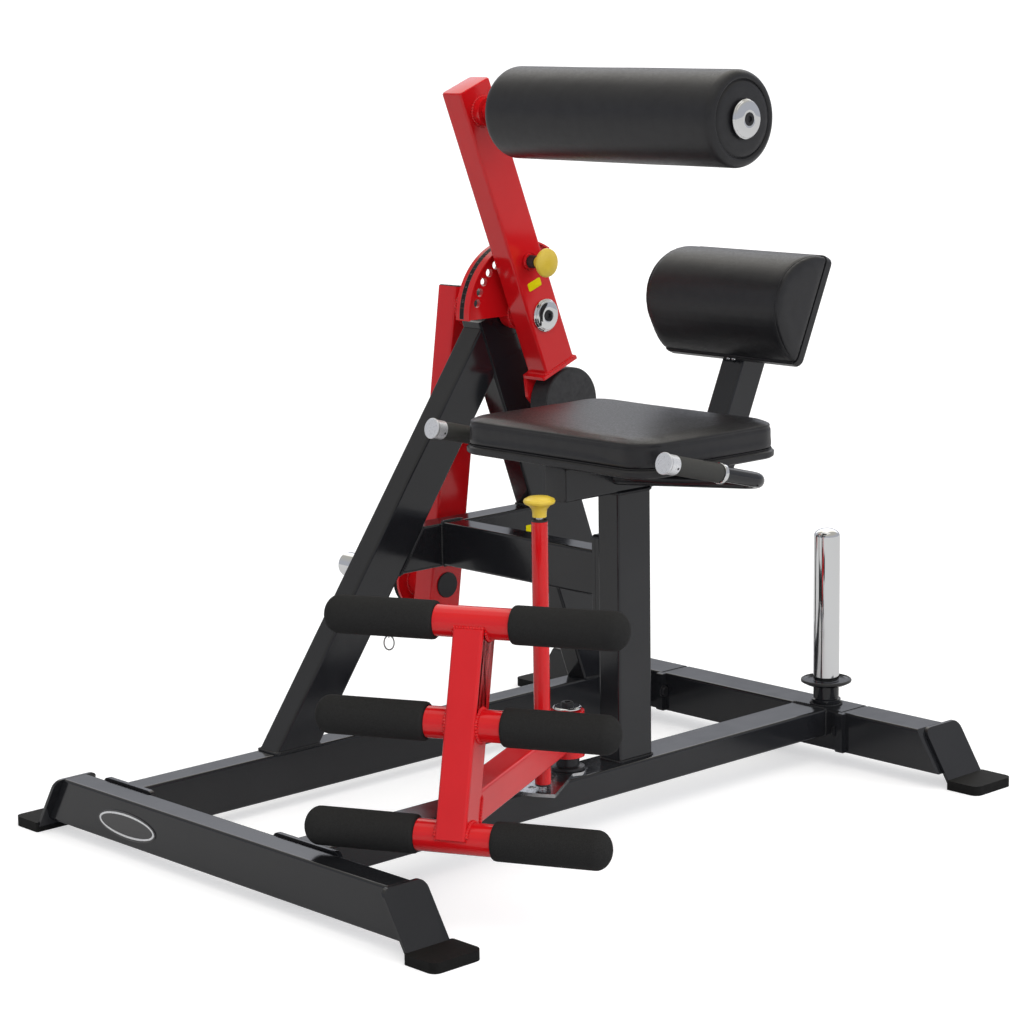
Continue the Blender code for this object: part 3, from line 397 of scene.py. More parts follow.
def piece(name, bm, material, body, crisp=35, stands_for=()):
    bmesh.ops.recalc_face_normals(bm, faces=bm.faces)
    mesh = mesh_of(name, bm, material)
    mesh.shade_smooth()
    mesh.set_sharp_from_angle(angle=radians(crisp))
    thing = put_in(bpy.data.objects.new(name, mesh))
    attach(thing, body)
    if stands_for:
        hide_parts(*stands_for)
    print("piece:", name, "of", len(mesh.polygons), "faces")
    return thing


def turned(name, material, body, *shapes, **more):
    """One piece of turned shapes, each (profile, origin, axis, count of spokes)."""
    bm = bmesh.new()
    for shape in shapes:
        turn(bm, *shape)
    return piece(name, bm, material, body, **more)


# %% [markdown]
# ## Stuffing a cushion
# A vinyl cover is sewn a little tight, so the foam inside pushes it out everywhere except where it is
# stapled to the board. A cloth simulation does the same: an even mesh, pressure from inside, no gravity,
# and the underside held. The cushion starts a little small and may only grow by a set amount, so it
# fills its solid and no more. A sculpted shape never gets the soft pull round the corners right.

# %% Reading and moving a mesh
def settle(thing):
    """Modifiers applied, so that the mesh is what shows."""
    bpy.context.view_layer.update()
    graph = bpy.context.evaluated_depsgraph_get()
    mesh = bpy.data.meshes.new_from_object(thing.evaluated_get(graph))
    thing.modifiers.clear()
    thing.data = mesh


def points_of(mesh):
    flat = np.zeros(len(mesh.vertices) * 3)
    mesh.vertices.foreach_get("co", flat)
    return flat.reshape(-1, 3)


def move_to(mesh, points):
    mesh.vertices.foreach_set("co", np.asarray(points, float).ravel())
    mesh.update()


def units(steps):
    """Each step at length one, and the lengths."""
    long = np.maximum(np.linalg.norm(steps, axis=1, keepdims=True), 1e-9)
    return steps / long, long


def evened(mesh, swell, rounds=12):
    """The swell of each point averaged with its neighbours', so that no small crease is left."""
    pairs = np.zeros(len(mesh.edges) * 2, int)
    mesh.edges.foreach_get("vertices", pairs)
    one, two = pairs.reshape(-1, 2).T
    count = np.bincount(pairs, minlength=len(swell))[:, None] + 1.0
    for _ in range(rounds):
        total = swell.copy()
        np.add.at(total, one, swell[two])
        np.add.at(total, two, swell[one])
        swell = total / count
    return swell


# %% Cloth under pressure
MESH_STEP = 0.0042
FRAMES = 20
COVER = {"quality": 5, "mass": 0.3, "tension_stiffness": 15, "compression_stiffness": 15,
         "shear_stiffness": 5, "bending_stiffness": 0.5, "use_pressure": True, "uniform_pressure_force": 4.0}


def stuff(thing, limit, held):
    """No point moves further than the limit. Held tells which points are stapled down."""
    modify(thing, "even", "REMESH", mode="VOXEL", voxel_size=MESH_STEP)
    settle(thing)
    before = points_of(thing.data)
    stapled = thing.vertex_groups.new(name="held")
    stapled.add([int(i) for i in np.nonzero(held(before))[0]], 1.0, "REPLACE")
    cloth = modify(thing, "cover", "CLOTH")
    for key, value in COVER.items():
        setattr(cloth.settings, key, value)
    cloth.settings.effector_weights.gravity = 0
    cloth.settings.vertex_group_mass = "held"
    cloth.point_cache.frame_end = FRAMES
    for k in range(1, FRAMES + 1):
        bpy.context.scene.frame_set(k)
    graph = bpy.context.evaluated_depsgraph_get()
    swollen = points_of(thing.evaluated_get(graph).data)
    thing.modifiers.clear()
    bpy.context.scene.frame_set(1)
    way, long = units(evened(thing.data, swollen - before))
    move_to(thing.data, before + way * np.minimum(long, limit))
    modify(thing, "finer", "SUBSURF", levels=1, render_levels=1)
    settle(thing)
    thing.data.shade_smooth()
    print(thing.name, "points:", len(thing.data.vertices))


# %% [markdown]
# ## The seat cushion
# A slab of foam is glued to plywood, and the cover is pulled over it and stapled below. The top is
# slightly crowned, and just under its edge the cover folds over the end of the slab. The fold is
# pressed into the mesh after the stuffing, which would smooth it away.

# %% Seat cushion
SEAT_CORNER = 0.050
SEAT_FULL = 0.95                 # the stuffing adds the rest
SEAT_LIMIT = 0.0024
STAPLED = 0.004                  # height of the stapled edge


def seat_ring(inset, up):
    """The seat's outline drawn in by inset, at a height above its board."""
    wide, deep = 2 * (seat_half.x - inset), 2 * (seat_half.y - inset)
    flat = outline(wide, deep, max(SEAT_CORNER - inset, 0.012), 9, 12)
    middle = Vector((seat_mid.x, seat_mid.y, seat_low.z + up))
    return [middle + Vector((x, y, 0)) for x, y in flat]


seat_low, seat_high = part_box("seat_cushion")
seat_mid = (seat_low + seat_high) / 2
seat_half = (seat_high - seat_low) / 2
steps = [(0.018, 0.0003), (0.0050, 0.0003), (0.0032, 0.0018), (0.0024, 0.006), (0.0018, 0.014),
         (0.0016, 0.026), (0.0018, 0.036), (0.0026, 0.0405), (0.0046, 0.0440), (0.0085, 0.0464),
         (0.016, 0.0482), (0.035, 0.0499), (0.060, 0.0512), (0.090, 0.0522), (0.120, 0.0528), (0.148, 0.0530)]
bm = bmesh.new()
skin(bm, [seat_ring(inset, up * SEAT_FULL) for inset, up in steps])
seat = piece("seat_cushion_cover", bm, vinyl, "frame", stands_for=["seat_cushion"])
stuff(seat, SEAT_LIMIT, lambda p: p[:, 2] < seat_low.z + STAPLED)

# %% Press the fold into the seat
FOLD_UP = 0.0360                 # height of the fold above the board
FOLD_REACH = 0.012               # only this near the sides


shape = points_of(seat.data)
middle_way = np.array(seat_mid)[:2] - shape[:, :2]
past = np.abs(middle_way) - np.array(seat_half)[:2] + SEAT_CORNER
inside = SEAT_CORNER - np.linalg.norm(np.maximum(past, 0), axis=1) - np.minimum(past.max(axis=1), 0)
at_side = inside < FOLD_REACH
above = shape[:, 2] - seat_low.z - FOLD_UP
press = 0.0016 * np.exp(-(above / 0.0016) ** 2) * at_side
lift = 0.0012 * np.exp(-((above - 0.0052) / 0.0022) ** 2) * at_side
shape[:, :2] += units(middle_way)[0] * (press - lift)[:, None]
shape[:, 2] = np.clip(shape[:, 2], seat_low.z, seat_high.z + 0.001)
move_to(seat.data, shape)
print("fold pressed at", round(seat_low.z + FOLD_UP, 4))

# %% [markdown]
# ## The back cushion
# The back cushion is a half round of foam on a board: a D in section, blunt at the nose. Two end panels
# are sewn to the wrap, and a bead of piping hides the staples where the wrap meets the board.

# %% Back cushion
BACK_LEAN = radians(24.5)
lean_up = Vector((0, sin(BACK_LEAN), cos(BACK_LEAN)))
lean_out = Vector((0, cos(BACK_LEAN), -sin(BACK_LEAN)))
BACK_CHORD, BACK_DEEP = 0.1945, 0.0965
BACK_POINT_LOW, BACK_POINT_HIGH = 1.48, 1.2   # how sharply the D closes below and above its nose
BACK_SKIN = 0.0016               # the cover starts this much small
BACK_LIMIT = 0.0018
CURVE_STEPS, BOARD_STEPS = 44, 12
back_low, back_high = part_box("back_cushion")
back_foot = Vector((0, 0.353, 0.770))


def back_curve(shrink):
    """D section: (up the board, out from the board)."""
    a, b, base = BACK_CHORD / 2 - shrink, BACK_DEEP - shrink, 0.0004
    points = []
    for i in range(CURVE_STEPS + 1):
        t = pi * i / CURVE_STEPS
        power = BACK_POINT_LOW if 2 * i < CURVE_STEPS else BACK_POINT_HIGH
        points.append((BACK_CHORD / 2 - a * cos(t), base + (b - base) * max(sin(t), 0) ** power))
    return points + [(BACK_CHORD / 2 + a - 2 * a * i / BOARD_STEPS, base) for i in range(1, BOARD_STEPS)]


def on_back(x, up, out):
    return Vector((x, back_foot.y, back_foot.z)) + lean_up * up - lean_out * out


def off_board(points):
    """Distance of each point from the board's face."""
    return (points - np.array(on_back(0, 0, 0))) @ -np.array(lean_out)


ends = [(0.0004, 0.030), (0.0007, 0.010), (0.0016, 0.0048), (0.0045, 0.0026), (0.012, BACK_SKIN)]
spots = [(back_low.x + dx, s) for dx, s in ends]
spots += [(back_low.x + (back_high.x - back_low.x) * f, BACK_SKIN) for f in (0.2, 0.4, 0.6, 0.8)]
spots += [(back_high.x - dx, s) for dx, s in reversed(ends)]
bm = bmesh.new()
skin(bm, [[on_back(x, t, d) for t, d in back_curve(s)] for x, s in spots])
back = piece("back_cushion_cover", bm, vinyl, "frame", stands_for=["back_cushion"])
stuff(back, BACK_LIMIT, lambda p: off_board(p * [0, 1, 1]) < STAPLED)

# %% Sew the end panels in
SEAM_IN = 0.0075                 # seam of the end panels, in from each end
shape = points_of(back.data)
heart = np.array(on_back(0, BACK_CHORD / 2, 0.020))
for edge in (back_low.x + SEAM_IN, back_high.x - SEAM_IN):
    groove = 0.0013 * np.exp(-((shape[:, 0] - edge) / 0.0017) ** 2)
    shape[:, 1:] += units(heart[1:] - shape[:, 1:])[0] * groove[:, None]
move_to(back.data, shape)
print("end seams at", round(back_low.x + SEAM_IN, 4), "and", round(back_high.x - SEAM_IN, 4))

# %% [markdown]
# ## Seams that follow the cover
# A sewn seam is a low ridge. A line of points is dropped onto the stuffed cover, so that the seam
# follows its every swell. Along the board the wrap ends in piping, a thin cord in a sleeve that
# ripples a little where it is stapled.

# %% Lay the seams and the piping
def drop_on(thing, points, sink):
    """Each point moved to the nearest place on the surface, then a little below it."""
    tree = BVHTree.FromObject(thing, bpy.context.evaluated_depsgraph_get())
    landed = []
    for p in points:
        spot, normal, _, _ = tree.find_nearest(Vector(p))
        landed.append(spot - normal * sink)
    return landed


def even_path(points, step, loop=True):
    """The same line with points at even distances."""
    flat = np.array([list(p) for p in points + points[:1] * loop])
    lengths = np.append(0, np.cumsum(np.linalg.norm(np.diff(flat, axis=0), axis=1)))
    marks = np.linspace(0, lengths[-1], max(round(lengths[-1] / step), 3) + 1)
    walked = [Vector([np.interp(m, lengths, flat[:, k]) for k in range(3)]) for m in marks]
    return walked[:-1] if loop else walked


def cord_piece(name, path, radius, n, loop=False, material=vinyl, body="frame"):
    bm = bmesh.new()
    carry(bm, path, radius, n, loop)
    piece(name, bm, material, body)


PIPING_IN = 0.0085
bpy.context.view_layer.update()
for side, x in (("left", back_low.x + SEAM_IN), ("right", back_high.x - SEAM_IN)):
    arc = [on_back(x, t, d) for t, d in back_curve(0.002)[:CURVE_STEPS + 1]]
    cord_piece("back_end_seam_" + side, drop_on(back, even_path(arc, 0.0025, loop=False), 0.0002), 0.0009, 6)
for side, up in (("lower", 0.0012), ("upper", BACK_CHORD - 0.0034)):
    line = [on_back(x, up, 0.0018) for x in (back_low.x + PIPING_IN, back_high.x - PIPING_IN)]
    cord_piece("back_piping_" + side, even_path(line, 0.004, loop=False),
               lambda s: 0.0016 + 0.0001 * sin(s * 900), 8)
cord_piece("seat_lower_seam", even_path(seat_ring(0.0035, 0.0008), 0.003),
           lambda s: 0.0012 + 0.0001 * sin(s * 1100), 6, True)

# %% [markdown]
# ## The roller pad
# The chest and back pad is a foam tube over a steel core, wrapped in vinyl. At each end a flat disc is
# sewn in, and the wrap is gathered round into the seam. Its shape is turned, with a groove for the
# seam, and a slow waviness of a few tenths of a millimetre, as a stuffed roll is never quite true.

# %% Roller pad
pad_low, pad_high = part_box("roller_pad")
axle_at = middle("roller_pad")
axle_at.x = 0
PAD_R = (pad_high.z - pad_low.z) / 2 + 0.0003
PAD_LONG = pad_high.x - pad_low.x
SHOULDER, SHOULDER_LONG = 0.0135, 0.0160


def pad_end():
    """Half profile from the bore outwards: disc, seam groove, round shoulder."""
    points = [(0.0132, 0.0015), (0.020, 0.0002), (0.035, 0.0), (0.050, 0.0002), (0.0575, 0.0008),
              (0.0602, 0.0020), (0.0614, 0.0040), (0.0624, 0.0042), (0.0636, 0.0022)]
    for i in range(11):
        a = pi / 2 * i / 10
        points.append((PAD_R - SHOULDER + SHOULDER * sin(a), 0.0005 + SHOULDER_LONG * (1 - cos(a))))
    return points


pad_profile = pad_end() + [(PAD_R, 0.0165 + (PAD_LONG - 0.033) * i / 40) for i in range(1, 40)]
pad_profile += [(r, PAD_LONG - h) for r, h in reversed(pad_end())]
pad = turned("roller_pad_cover", vinyl, "pad", (pad_profile, (pad_low.x, axle_at.y, axle_at.z), X, 96),
             crisp=70, stands_for=["roller_pad"])
shape = points_of(pad.data)
spokes, radius = units(shape[:, 1:] - [axle_at.y, axle_at.z])
sway = np.array([[noise.noise(Vector((p[0] * 9, p[1] * 16, p[2] * 16)))] for p in shape])
shape[:, 1:] += spokes * np.where(radius > 0.066, 0.0005 * sway - 0.0003, 0.0)
move_to(pad.data, shape)
print("pad radius", round(PAD_R, 4), "length", round(PAD_LONG, 4))

# %% [markdown]
# ## Foam rollers and grips
# Six foam rollers hold the ankles and shins, and two sleeves cover the handles. A roller is moulded
# with a domed end and pushed on to its tube. Both are turned, and the pits come from the foam finish.

# %% Foam rollers
SPIN, TURN = Vector((SEAT_SIDE, -0.047, 0)), radians(27)     # the footrest stands swung to one side
ahead = Vector((sin(TURN), -cos(TURN), 0))
across = Vector((cos(TURN), sin(TURN), 0))
REST_LONG, REST_MID, REST_SLOPE = 0.4790, 0.304, 0.308
ROLLER_HEIGHTS = {"low": 0.1415, "middle": 0.3057, "top": 0.4546}
FOAM_R, FOAM_IN, FOAM_OUT, DOME, RIM = 0.0305, 0.062, 0.2477, 0.024, 0.0065
SIDES = (("right", 1), ("left", -1))


def rest_at(z):
    """The middle line of the footrest's leaning post, at a height."""
    return SPIN + ahead * (REST_LONG - (z - REST_MID) * REST_SLOPE) + Z * z


dome_at = FOAM_OUT - FOAM_IN - DOME
roller = [(0, 0.0), (0.0150, 0.0), (0.0250, 0.0003), (0.0285, 0.0012), (0.0299, 0.0030), (FOAM_R, RIM)]
roller += [(FOAM_R, RIM + (dome_at - RIM) * i / 12) for i in range(1, 13)]
roller += [(FOAM_R * cos(pi * i / 26), dome_at + DOME * sin(pi * i / 26)) for i in range(1, 13)]
roller.append((0, dome_at + DOME))
for level, z in ROLLER_HEIGHTS.items():
    for label, side in SIDES:
        sleeve = turned(f"foam_sleeve_{level}_{label}", foam, "footrest",
                        (roller, rest_at(z) + across * side * FOAM_IN, across * side, 56),
                        crisp=60, stands_for=[f"foam_roller_{level}_{label}"])

# %% Handle grips, chrome rings, and painted shade in the groove of each cap
HANDLE_X, HANDLE_Y, HANDLE_Z, HANDLE_TILT = 0.2745, -0.089, 0.6655, tan(radians(14))
GRIP_START, GRIP_END, GRIP_R = 0.0167, 0.1230, 0.0158
grip_axis = Vector((0, 1, -HANDLE_TILT)).normalized()
screw_out = (X * 0.90 - Z * 0.30).normalized()


def both_ends(half, start, stop):
    """A half profile at the start, and its mirror image at the stop."""
    return [(r, start + h) for r, h in half] + [(r, stop - h) for r, h in reversed(half)]


grip = both_ends([(0.0128, 0.0), (0.0142, 0.0), (0.0153, 0.0008), (GRIP_R, 0.0030)],
                 GRIP_START + 0.0002, GRIP_END - 0.0002)
grip[4:4] = [(GRIP_R, 0.050), (GRIP_R, 0.090)]
ring = both_ends([(0.0128, 0.0), (0.0162, 0.0), (0.0170, 0.0006), (0.0172, 0.0017)], GRIP_END + 0.0005,
                 GRIP_END + 0.0085)
# A ring of black oxide fills the groove of each cap. It is painted shade where the disc overlaps the sleeve.
groove = [(0.0150, -0.0047), (0.0167, -0.0047), (0.0167, -0.0029), (0.0150, -0.0029)]
set_screw = [(0, 0.0004), (0.0018, 0.0004), (0.0020, 0.0002), (0.0020, -0.0004), (0, -0.0004)]
for label, side in SIDES:
    at = Vector((SEAT_SIDE + side * HANDLE_X, HANDLE_Y, HANDLE_Z))
    sleeve = turned("grip_sleeve_" + label, grip_foam, "frame", (grip, at, grip_axis, 48), crisp=60,
                    stands_for=["handle_grip_" + label])
    turned("grip_ring_" + label, chrome, "frame", (ring, at, grip_axis, 48))
    # The black ring is painted shade in the cap's groove. The set screw next to it is a real part.
    turned("cap_painted_groove_shade_and_screw_" + label, black_oxide, "frame", (groove, at, grip_axis, 40),
           (set_screw, at + grip_axis * 0.0105 + screw_out * 0.0163, screw_out, 20))

# %% [markdown]
# ## Screws
# A socket screw has a round head with a bevelled rim and a six-sided hole for the key. A hex bolt has a
# six-sided head on a flat washer, its top corners turned off. Both are stacks of rings of points, in
# which the hexagon is one more ring among the round ones.

# %% Socket screws and hex bolts
ROUND = 36                       # points round a screw, a multiple of six


def hexagon(r, start=0.0):
    """The same count of points round a hexagon, r from its middle to its flats."""
    points = []
    for i in range(ROUND):
        a = 2 * pi * i / ROUND
        long = r / cos((a + pi / 6) % (pi / 3) - pi / 6)
        points.append((long * cos(a + start), long * sin(a + start)))
    return points


def stack(bm, at, axis, *layers):
    """Rings of points on one axis. Each layer is (points, distance along the axis)."""
    u, v, w = square_to(axis)
    skin(bm, [[Vector(at) + u * a + v * b + w * h for a, b in points] for points, h in layers])


def socket_screw(name, at, axis, body, r, high, key):
    bm = bmesh.new()
    bevel = r * 0.12
    rims = [(circle(wide, ROUND), h) for wide, h in
            ((r, 0), (r, high - bevel), (r - bevel, high), (key * 1.32, high))]
    stack(bm, at, axis, *rims, (hexagon(key), high - 0.0003), (hexagon(key), high * 0.35))
    piece(name, bm, black_oxide, body)


FLAT, HEAD, WASHER = 0.0085, 0.0065, 0.0115


def hex_bolt(bm, at, axis, turn_by):
    turn(bm, [(0, 0), (WASHER, 0), (WASHER, 0.0012), (WASHER - 0.0006, 0.0018), (0, 0.0018)], at, axis, 28)
    sides = hexagon(FLAT, turn_by)
    stack(bm, at, axis, (sides, 0.0017), (sides, HEAD - 0.0012), (circle(FLAT * 0.96, ROUND, turn_by), HEAD))


# %% Domed washers and their screws
def dome(at, outer, inner, rise):
    """Spun dome round a screw, on the face of a washer."""
    arc = [(inner + (outer - inner) * cos(a), rise * sin(a)) for a in [pi / 2 * i / 8 for i in range(9)]]
    arc = [(inner, 0)] + arc + [(inner - 0.0004, rise - 0.0002), (inner - 0.0006, rise - 0.0015)]
    return arc, at, X, 56


GAP = 0.0002                     # a screw's head stands this far off its washer
arm_washer = Vector((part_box("arm_washer")[1].x, PIVOT.y, PIVOT.z))
pad_washer = Vector((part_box("pad_washer")[1].x, axle_at.y, axle_at.z))
rest_washer = Vector((SPIN.x, SPIN.y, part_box("footrest_washer")[1].z))
turned("washer_domes", chrome, "arm", dome(arm_washer, 0.0262, 0.0108, 0.0034),
       dome(pad_washer, 0.0298, 0.0114, 0.0040), crisp=50)
socket_screw("arm_washer_screw", arm_washer + X * GAP, X, "arm", 0.0098, 0.0040, 0.0048)
socket_screw("pad_washer_screw", pad_washer + X * GAP, X, "arm", 0.0104, 0.0044, 0.0050)
pin_at = middle("pop_pin_housing")
pin_at.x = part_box("pop_pin_housing")[0].x
collar = [(0.0118, 0.0004), (0.0152, 0.0004), (0.0157, 0.0010), (0.0157, 0.0062), (0.0153, 0.0068),
          (0.0146, 0.0068), (0.0140, 0.0060), (0.0118, 0.0060)]
turned("pin_collar", red_coat, "arm", (collar, pin_at, X, 40), crisp=40)
socket_screw("footrest_washer_screw", rest_washer + Z * GAP, Z, "frame", 0.0105, 0.0070, 0.0050)

# %% Screws under the back board, and the round edge of the storage bumper
button = [(0.0036, 0.0002), (0.0036, 0.0008), (0.0028, 0.0020), (0.0014, 0.0026), (0, 0.0027)]
turned("back_board_screws", chrome, "frame",
       *[(button, on_back(x + SHIFT, -0.0020, -0.0050), -lean_up, 24) for x in (0.1665, 0.1785)])
storage = middle("storage_horn_base")
storage.z = 0
bumper = [(0.0452, 0.1432), (0.0462, 0.1440), (0.0466, 0.1458), (0.0462, 0.1476), (0.0450, 0.1486),
          (0.0436, 0.1486), (0.0428, 0.1483), (0.0436, 0.1483), (0.0448, 0.1480), (0.0452, 0.1472)]
turned("storage_bumper_edge", cap_plastic, "frame", (bumper, storage, Z, 64))

# %% Hex bolts through the joint flanges
FRONT_FLANGE, REAR_EAR = -0.6107, 0.5702      # y of the flanges' bolt faces
FLANGE_X, FLANGE_Z = (-0.3565, -0.2495, 0.1030, 0.2310), (0.044, 0.079)
BRACE_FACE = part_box("cross_brace")[1].x - 0.008
bolts = [((x + SHIFT, FRONT_FLANGE, z), Y) for x in FLANGE_X for z in FLANGE_Z]
bolts += [((x + SHIFT, REAR_EAR, 0.0665), out) for x, out in ((-0.1985, X), (0.2366, -X))]
bolts += [((BRACE_FACE, 0.0996, z), -X) for z in (0.360, 0.476)]
bm = bmesh.new()
for k, (at, axis) in enumerate(bolts):
    hex_bolt(bm, Vector(at), axis, 0.5 * k)
piece("joint_bolts", bm, black_oxide, "frame")
print("bolts:", len(bolts))

# %% [markdown]
# ## Caps, bushings and the ring on the weight horn
# Plastic plugs close the ends of the square tubes: thin plates with rounded corners and a soft edge.
# Bushings line the pin tube, a round plug covers the bolt of the weight horn, and a rubber ring on its
# flange takes the knocks of the discs.

# %% Tube plugs
ARM_LEAN, LEVER_LEAN = radians(21.34), radians(7.64)
ARM_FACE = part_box("pivot_shaft")[1].x + 0.001
arm_up = Vector((0, -sin(ARM_LEAN), cos(ARM_LEAN)))
arm_back = Vector((0, cos(ARM_LEAN), sin(ARM_LEAN)))
arm_mid = Vector((ARM_FACE - 0.025, PIVOT.y, PIVOT.z))
lever_up = Vector((0, sin(LEVER_LEAN), cos(LEVER_LEAN)))
lever_across = X.cross(lever_up)
lever_mid = PIVOT - X * 0.410
PLUG_WIDE, PLUG_HIGH = 0.0485, 0.0735


def plugs(name, material, body, *places):
    """Each place is (middle, side, other side, way out, height of the plug)."""
    bm = bmesh.new()
    for at, u, v, out, high in places:
        push(bm, outline(PLUG_WIDE, high, 0.006), at, u, v, out,
             [(-0.0006, 0), (0.0010, 0), (0.0018, -0.0009), (0.0020, -0.0022)])
    piece(name, bm, material, body)


tube_low, tube_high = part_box("seat_tube")
plugs("seat_tube_plug", cap_plastic, "frame",
      ((SEAT_SIDE, tube_low.y, (tube_low.z + tube_high.z) / 2), X, Z, -Y, tube_high.z - tube_low.z - 0.0015))
plugs("lever_plugs", cap_plastic, "lever",
      (lever_mid + lever_up * 0.0365, X, lever_across, lever_up, PLUG_HIGH),
      (lever_mid - lever_up * 0.570, X, lever_across, -lever_up, PLUG_HIGH))
plugs("arm_plug", red_coat, "arm", (arm_mid + arm_up * 0.4445, X, arm_back, arm_up, PLUG_HIGH))

# %% Horn plug, rubber ring and bushings
horn_axis = PIVOT - lever_up * 0.520
LEVER_FACE = -0.385              # from the pivot's middle to the lever's near face
turned("horn_bolt_plug", cap_plastic, "lever",
       ([(0, 0), (0.0240, 0), (0.0240, 0.0022), (0.0228, 0.0036), (0.0150, 0.0046), (0, 0.0050)],
        horn_axis + X * (LEVER_FACE + 0.0002), X, 40))
horn_flange = Vector((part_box("horn_flange")[0].x, horn_axis.y, horn_axis.z))
ring = [(0.0245, 0), (0.0500, 0), (0.0515, -0.0015), (0.0515, -0.0100), (0.0500, -0.0120), (0.0245, -0.0120)]
turned("horn_rubber_ring", shoe_rubber, "lever", (ring, horn_flange - X * 0.0003, X, 48))
pin_tube = SPIN + ahead * 0.128
bushing = [(0.0064, 0), (0.0130, 0), (0.0130, 0.0022), (0.0120, 0.0032), (0.0064, 0.0032)]
turned("pin_tube_bushings", cap_plastic, "footrest",
       (bushing, pin_tube + Z * 0.5561, Z, 28), (bushing, pin_tube + Z * 0.1169, -Z, 28))

# %% Keeper ring under the roller
WIRE, EYE_WIRE = 0.0011, 0.0008
hook = rest_at(ROLLER_HEIGHTS["top"]) - across * 0.1425 - Z * 0.0300
ring_side = Vector((0.684, 0.730, 0)).normalized()
ring_out = ring_side.cross(Z).normalized()
coil = []                        # two turns of wire side by side
for i in range(97):
    a = 4 * pi * i / 96 + pi / 2
    coil.append(hook - Z * 0.0110 + ring_side * (0.0078 * cos(a)) + Z * (0.0112 * sin(a)) +
                ring_out * (0.0007 * (i / 48 - 1)))
eye = [hook + ring_out * (0.0032 * a) + Z * (0.0034 * b + 0.0005) for a, b in circle(1, 24)]
cord_piece("keeper_ring", coil, WIRE, 8, material=dark_wire, body="footrest")
cord_piece("keeper_eye", eye, EYE_WIRE, 8, True, black_oxide, "footrest")

# %% [markdown]
# ## Labels and the badge
# The labels are plain stickers of plastic film with rounded corners. The badge on the front tube is an
# oval of pressed aluminium with a raised rim and a dark, plain middle. Each is a thin plate standing on
# its tube, not a colour painted on it, so its edge catches the light.

# %% Stickers
FILM = 0.00025


def sticker(name, at, u, v, wide, high, r, body):
    bm = bmesh.new()
    out = u.cross(v)
    push(bm, outline(wide, high, r, 4), at + out * 0.00005, u, v, out,
         [(0, 0), (FILM, 0), (FILM + 0.00008, -0.0002)])
    piece(name, bm, label_yellow, body)


LABEL_TILT = radians(20)
sticker("arm_label", Vector((ARM_FACE, 0.2235, 0.8835)), Vector((0, cos(LABEL_TILT), sin(LABEL_TILT))),
        Vector((0, -sin(LABEL_TILT), cos(LABEL_TILT))), 0.0325, 0.0155, 0.0030, "arm")
sticker("brace_label", Vector((LEVER_SIDE + 0.025, 0.2912, 0.4148)), Y, Z, 0.0130, 0.0155, 0.0015, "frame")

# %% Oval badge
badge_at = Vector((-0.2375 + SHIFT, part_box("front_crossmember")[0].y, 0.0575))
BADGE_WIDE, BADGE_TALL = 0.080, 0.0235        # half sizes


def badge(name, material, *rings, **how):
    """Oval rings, each (half width, half height, distance out of the tube)."""
    bm = bmesh.new()
    skin(bm, [[badge_at + X * a * x + Z * b * z - Y * out for x, z in circle(1, 96)]
              for a, b, out in rings], **how)
    piece(name, bm, material, "frame", crisp=25)


badge("badge_field", badge_dark, (BADGE_WIDE, BADGE_TALL, 0.0001), (BADGE_WIDE, BADGE_TALL, 0.0010),
      (BADGE_WIDE - 0.0006, BADGE_TALL - 0.0006, 0.0014), (0.0768, 0.0206, 0.0014), (0.0763, 0.0201, 0.0009),
      (0.002, 0.001, 0.0009))
badge("badge_silver_line", tumbled_aluminium, (0.0762, 0.0200, 0.0009), (0.0762, 0.0200, 0.0014),
      (0.0720, 0.0166, 0.0014), (0.0720, 0.0166, 0.0009), loop=True)

# %% [markdown]
# ## The scale on the sector
# A strip with plain numbers runs round the sector's rim, one for each hole, so that the start angle
# can be set the same each time. It is a curved ribbon a hair above the rim, with a fine pale line at
# both edges and between the fields.

# %% Number strip
SECTOR_R = 0.133
PIN_ANGLE = pi / 2 + ARM_LEAN
FIELD, STRIP_START, STRIP_STOP = radians(11), radians(60), radians(180.5)
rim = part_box("index_sector")[0].x
strip_from, strip_to = rim + 0.0098, rim + 0.0198


def on_rim(x, angle, out):
    r = SECTOR_R + out
    return Vector((x, PIVOT.y + r * cos(angle), PIVOT.z + r * sin(angle)))


def ribbon(bm, x0, x1, a0, a1, n):
    """A band a hair above the rim, between two places across it and two angles."""
    low, high = 0.00005, 0.0002
    skin(bm, [[on_rim(x0, a, low), on_rim(x1, a, low), on_rim(x1, a, high), on_rim(x0, a, high)]
              for a in [a0 + (a1 - a0) * i / n for i in range(n + 1)]])


bm, lines = bmesh.new(), bmesh.new()
for k in range(-5, 7):
    a = PIN_ANGLE + (k - 0.5) * FIELD
    a0, a1 = max(a, STRIP_START), min(a + FIELD, STRIP_STOP)
    if a1 - a0 > radians(2):
        ribbon(bm, strip_from, strip_to, a0 + 0.002, a1 - 0.002, 6)
        ribbon(lines, strip_from, strip_to, a1 - 0.0015, a1 + 0.0015, 1)
for x in (strip_from - 0.0006, strip_to + 0.0001):
    ribbon(lines, x, x + 0.0005, STRIP_START, STRIP_STOP, 60)
piece("sector_scale_strip", bm, strip_black, "lever", crisp=30)
piece("sector_scale_lines", lines, strip_pale, "lever", crisp=30)

# %% Numbers one to ten
NUMBER_SIZE = 0.0070


def number(text, at, right, upward):
    """A number as a mesh, from Blender's own font."""
    curve = bpy.data.curves.new("number", "FONT")
    curve.body, curve.size, curve.extrude = text, NUMBER_SIZE, 0.00008
    curve.align_x = curve.align_y = "CENTER"
    thing = put_in(bpy.data.objects.new("number", curve))
    mesh = bpy.data.meshes.new_from_object(thing.evaluated_get(bpy.context.evaluated_depsgraph_get()))
    faces = Matrix((right, upward, right.cross(upward))).transposed().to_4x4()
    mesh.transform(Matrix.Translation(at) @ faces)
    bpy.data.objects.remove(thing, do_unlink=True)
    return mesh


